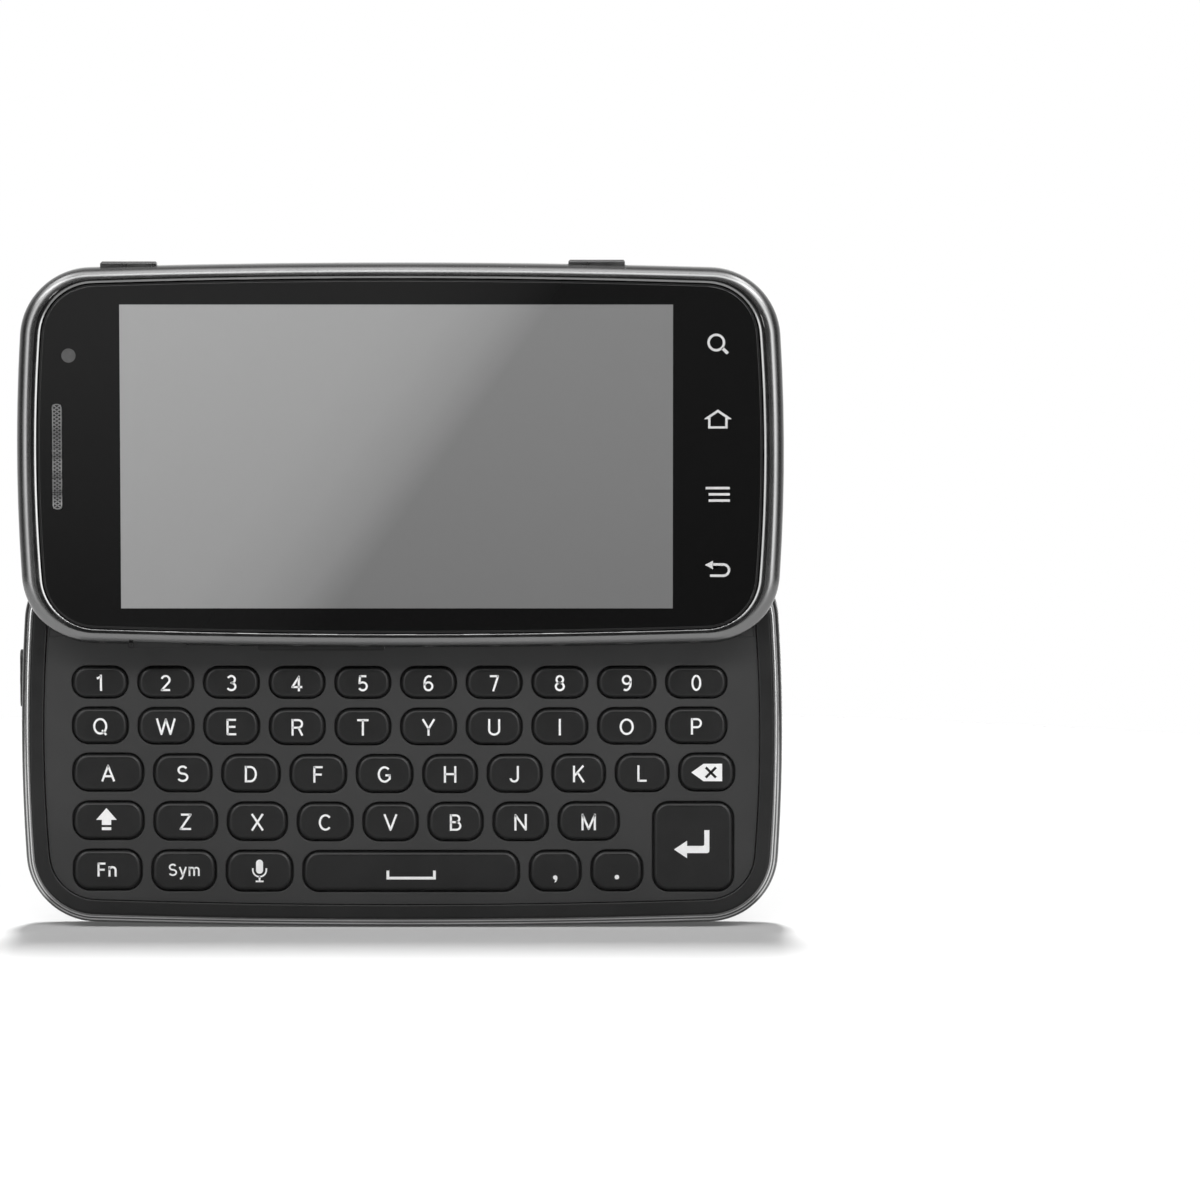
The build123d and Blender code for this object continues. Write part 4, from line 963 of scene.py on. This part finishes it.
lens_centre = centre_of("camera_window")
window_face = back_of("camera_window")
ring_outer, ring_inner = 2.3 * mm, 2.12 * mm
ring_rise, ring_foot = 0.1 * mm, 0.02 * mm
dome_radius, dome_rise = 1.95 * mm, 0.08 * mm


def lens_ring_metal():
    surface = Surface("lens_ring_anodised", metallic=0.8)
    tinted(surface, grey(0.04), grey(0.055), 800)
    worn_roughness(surface, 0.25, 0.4, 1500)
    return surface.material


def lens_dome_glass():
    """Dark glass with the lens's inner rings showing through."""
    surface = Surface("lens_dome_glass", roughness=0.04, specular_ior_level=0.12)
    x, _, z = surface.coordinates()
    squares = []
    for coordinate, centre in zip((x, z), lens_centre):
        off = surface.math("SUBTRACT", coordinate, centre)
        squares.append(surface.math("MULTIPLY", off, off))
    distance = surface.math("SQRT", surface.math("ADD", *squares))
    rings = [(0, 0.001), (0.2, 0.002), (0.26, 0.03), (0.34, 0.06), (0.42, 0.008), (0.5, 0.03), (1, 0.026)]
    surface.set("Base Color", surface.ramp(surface.between(distance, 0, dome_radius), rings))
    return surface.material


lens_ring = [(ring_outer, window_face), (ring_outer, window_face + ring_rise),
             (ring_inner, window_face + ring_rise), (dome_radius, window_face + ring_foot),
             (dome_radius, window_face)]
add_piece("camera_lens_ring", turned(lens_ring, lens_centre), lens_ring_metal(), "keyboard_half")
dome_angles = [math.pi / 2 * step / 8 for step in range(8)]
dome = [(dome_radius * math.cos(angle), window_face + dome_rise * math.sin(angle)) for angle in dome_angles]
add_piece("camera_lens_dome", turned(dome + [(0, window_face + dome_rise)], lens_centre), lens_dome_glass(),
          "keyboard_half")
dress("camera_window", slot_materials["lens_glass"])


def flash_diffuser():
    """Milky window with the light's yellow phosphor showing through its middle."""
    surface = Surface("flash_diffuser", roughness=0.25, specular_ior_level=0.5)
    phosphor_half = 1.35 * mm
    core = window_mask(surface, centre_of("flash_window"), (phosphor_half, phosphor_half), 0.25 * mm)
    surface.set("Base Color", surface.mix(core, (0.85, 0.85, 0.8, 1), (0.86, 0.8, 0.36, 1)))
    ripple = surface.node("TexWave", Vector=surface.place(), Scale=700.0, Distortion=0.4)
    surface.bump(ripple.outputs["Fac"], 0.03 * mm, 0.5)
    return surface.material


dress("flash_window", flash_diffuser())
island_half_x, island_half_z = (half / mm for half in half_size_of("camera_island"))
island_radius = 2.6
highlight_insets = (0.12, 0.34)  # of both edges of the painted highlight line round the island
# A thin chrome line drawn flat on the island's face: a painted highlight standing in for the shine of its
# bevelled edge.
island_edge_highlight = drawing([rounded(island_half_x - inset, island_half_z - inset, island_radius - inset)
                     for inset in highlight_insets])
island_x, island_z = centre_of("camera_island")
island_edge_highlight.transform(Matrix.Translation((island_x, back_of("camera_island"), island_z)) @ facing_back)
add_piece("camera_island_painted_highlight", island_edge_highlight, slot_materials["trim_chrome"], "keyboard_half")


# ---------------------------------------------------------------- floor, light and camera
floor_radius = 0.3
floor_gap = 0.02 * mm
floor_glow = 0.08


def white_studio_floor():
    """A pale floor, lit to white, that keeps the object's shadow."""
    material = bpy.data.materials.new("studio_floor_white")
    material.use_nodes = True
    material.node_tree.nodes.clear()
    tree = Nodes(material.node_tree)
    noise = tree.node("TexNoise", Scale=40).outputs[0]
    paint = tree.node("BsdfDiffuse", Color=tree.between(noise, 0, 1, 0.65, 0.67))
    seen = tree.node("LightPath").outputs
    reflected = tree.math("MAXIMUM", seen["Is Glossy Ray"], seen["Is Transmission Ray"])
    shown = tree.math("MAXIMUM", seen["Is Camera Ray"], reflected)
    glow = tree.node("Emission", Strength=tree.math("MULTIPLY", shown, floor_glow))
    both = tree.node("AddShader")
    tree.feed(both.inputs[0], paint.outputs[0])
    tree.feed(both.inputs[1], glow.outputs[0])
    tree.node("OutputMaterial", Surface=both.outputs[0])
    return material


def add_floor():
    shape = bmesh.new()
    bmesh.ops.create_circle(shape, cap_ends=True, radius=floor_radius, segments=96)
    mesh = bpy.data.meshes.new("studio_floor")
    shape.to_mesh(mesh)
    shape.free()
    floor = bpy.data.objects.new("studio_floor", mesh)
    floor.location = (0, 0, cad_box[0][2] - floor_gap)
    mesh.materials.append(white_studio_floor())
    bpy.context.scene.collection.objects.link(floor)


def studio_world():
    """White to the camera and an even grey for soft light.

    Reflections see a room that is dim towards the viewer, with bright strips on both sides and above.
    """
    world = bpy.data.worlds.new("studio")
    bpy.context.scene.world = world
    world.use_nodes = True
    world.node_tree.nodes.clear()
    tree = Nodes(world.node_tree)
    x, y, z = tree.node("SeparateXYZ", Vector=tree.node("TexCoord").outputs["Generated"]).outputs
    room = tree.between(y, -0.2, 0.9, 0.06, 1.0, smooth=True)
    in_front = tree.math("LESS_THAN", y, 0.0)
    # Each strip is its axis, near edge, brightest line, far edge and strength.
    strips = [(x, -0.3, -0.5, -0.95, 3.6), (x, 0.3, 0.5, 0.95, 5.0), (z, 0.74, 0.9, 1.06, 3.0)]
    for axis, near, brightest, far, strength in strips:
        strip = tree.math("MULTIPLY", tree.between(axis, near, brightest, smooth=True),
                          tree.between(axis, far, brightest, smooth=True))
        room = tree.math("MULTIPLY_ADD", tree.math("MULTIPLY", strip, in_front), strength, room)
    seen = tree.node("LightPath").outputs
    soft_light = 0.08
    extra = tree.math("SUBTRACT", room, soft_light)
    unseen = tree.math("MULTIPLY_ADD", seen["Is Glossy Ray"], extra, soft_light)
    shown = tree.math("MAXIMUM", seen["Is Camera Ray"], seen["Is Transmission Ray"])
    sky = tree.node("Background", Strength=tree.math("MAXIMUM", shown, unseen))
    sky.inputs["Color"].default_value = grey(1)
    tree.node("OutputWorld", Surface=sky.outputs[0])


def softbox(name, place, size, power, in_reflections=True):
    aim = Vector((0, 0, 0.03))
    lamp = bpy.data.lights.new(name, "AREA")
    lamp.shape = "RECTANGLE"
    lamp.size, lamp.size_y = size
    lamp.energy = power
    holder = bpy.data.objects.new(name, lamp)
    holder.location = place
    holder.visible_glossy = in_reflections
    holder.rotation_euler = (aim - Vector(place)).to_track_quat("-Z", "Y").to_euler()
    bpy.context.scene.collection.objects.link(holder)


camera_elevation = math.radians(6)
camera_distance = 1.3
frame_width_at_object = 0.1994
frame_centre = Vector((0.0329, 0, 0.0226))


def add_camera():
    data = bpy.data.cameras.new("photo_camera")
    data.sensor_width = 36
    data.lens = data.sensor_width * camera_distance / frame_width_at_object
    data.clip_start = 0.05
    camera = bpy.data.objects.new("photo_camera", data)
    back = Vector((0, -math.cos(camera_elevation), math.sin(camera_elevation)))
    camera.location = frame_centre + back * camera_distance
    camera.rotation_euler = (-back).to_track_quat("-Z", "Y").to_euler()
    bpy.context.scene.collection.objects.link(camera)
    bpy.context.scene.camera = camera


add_floor()
studio_world()
# Each lamp has its place, its width and height, and its power in watts.
softbox("left_softbox", (-0.62, -0.85, 0.12), (0.25, 1.2), 0.4)
softbox("right_softbox", (0.62, -0.85, 0.12), (0.25, 1.2), 0.5)
softbox("top_softbox", (0, -0.68, 0.72), (2.4, 0.25), 10.2)
softbox("rear_softbox", (0, 0.36, 1.9), (0.16, 0.4), 43.0, in_reflections=False)
add_camera()
bpy.context.scene.view_settings.view_transform = "Standard"
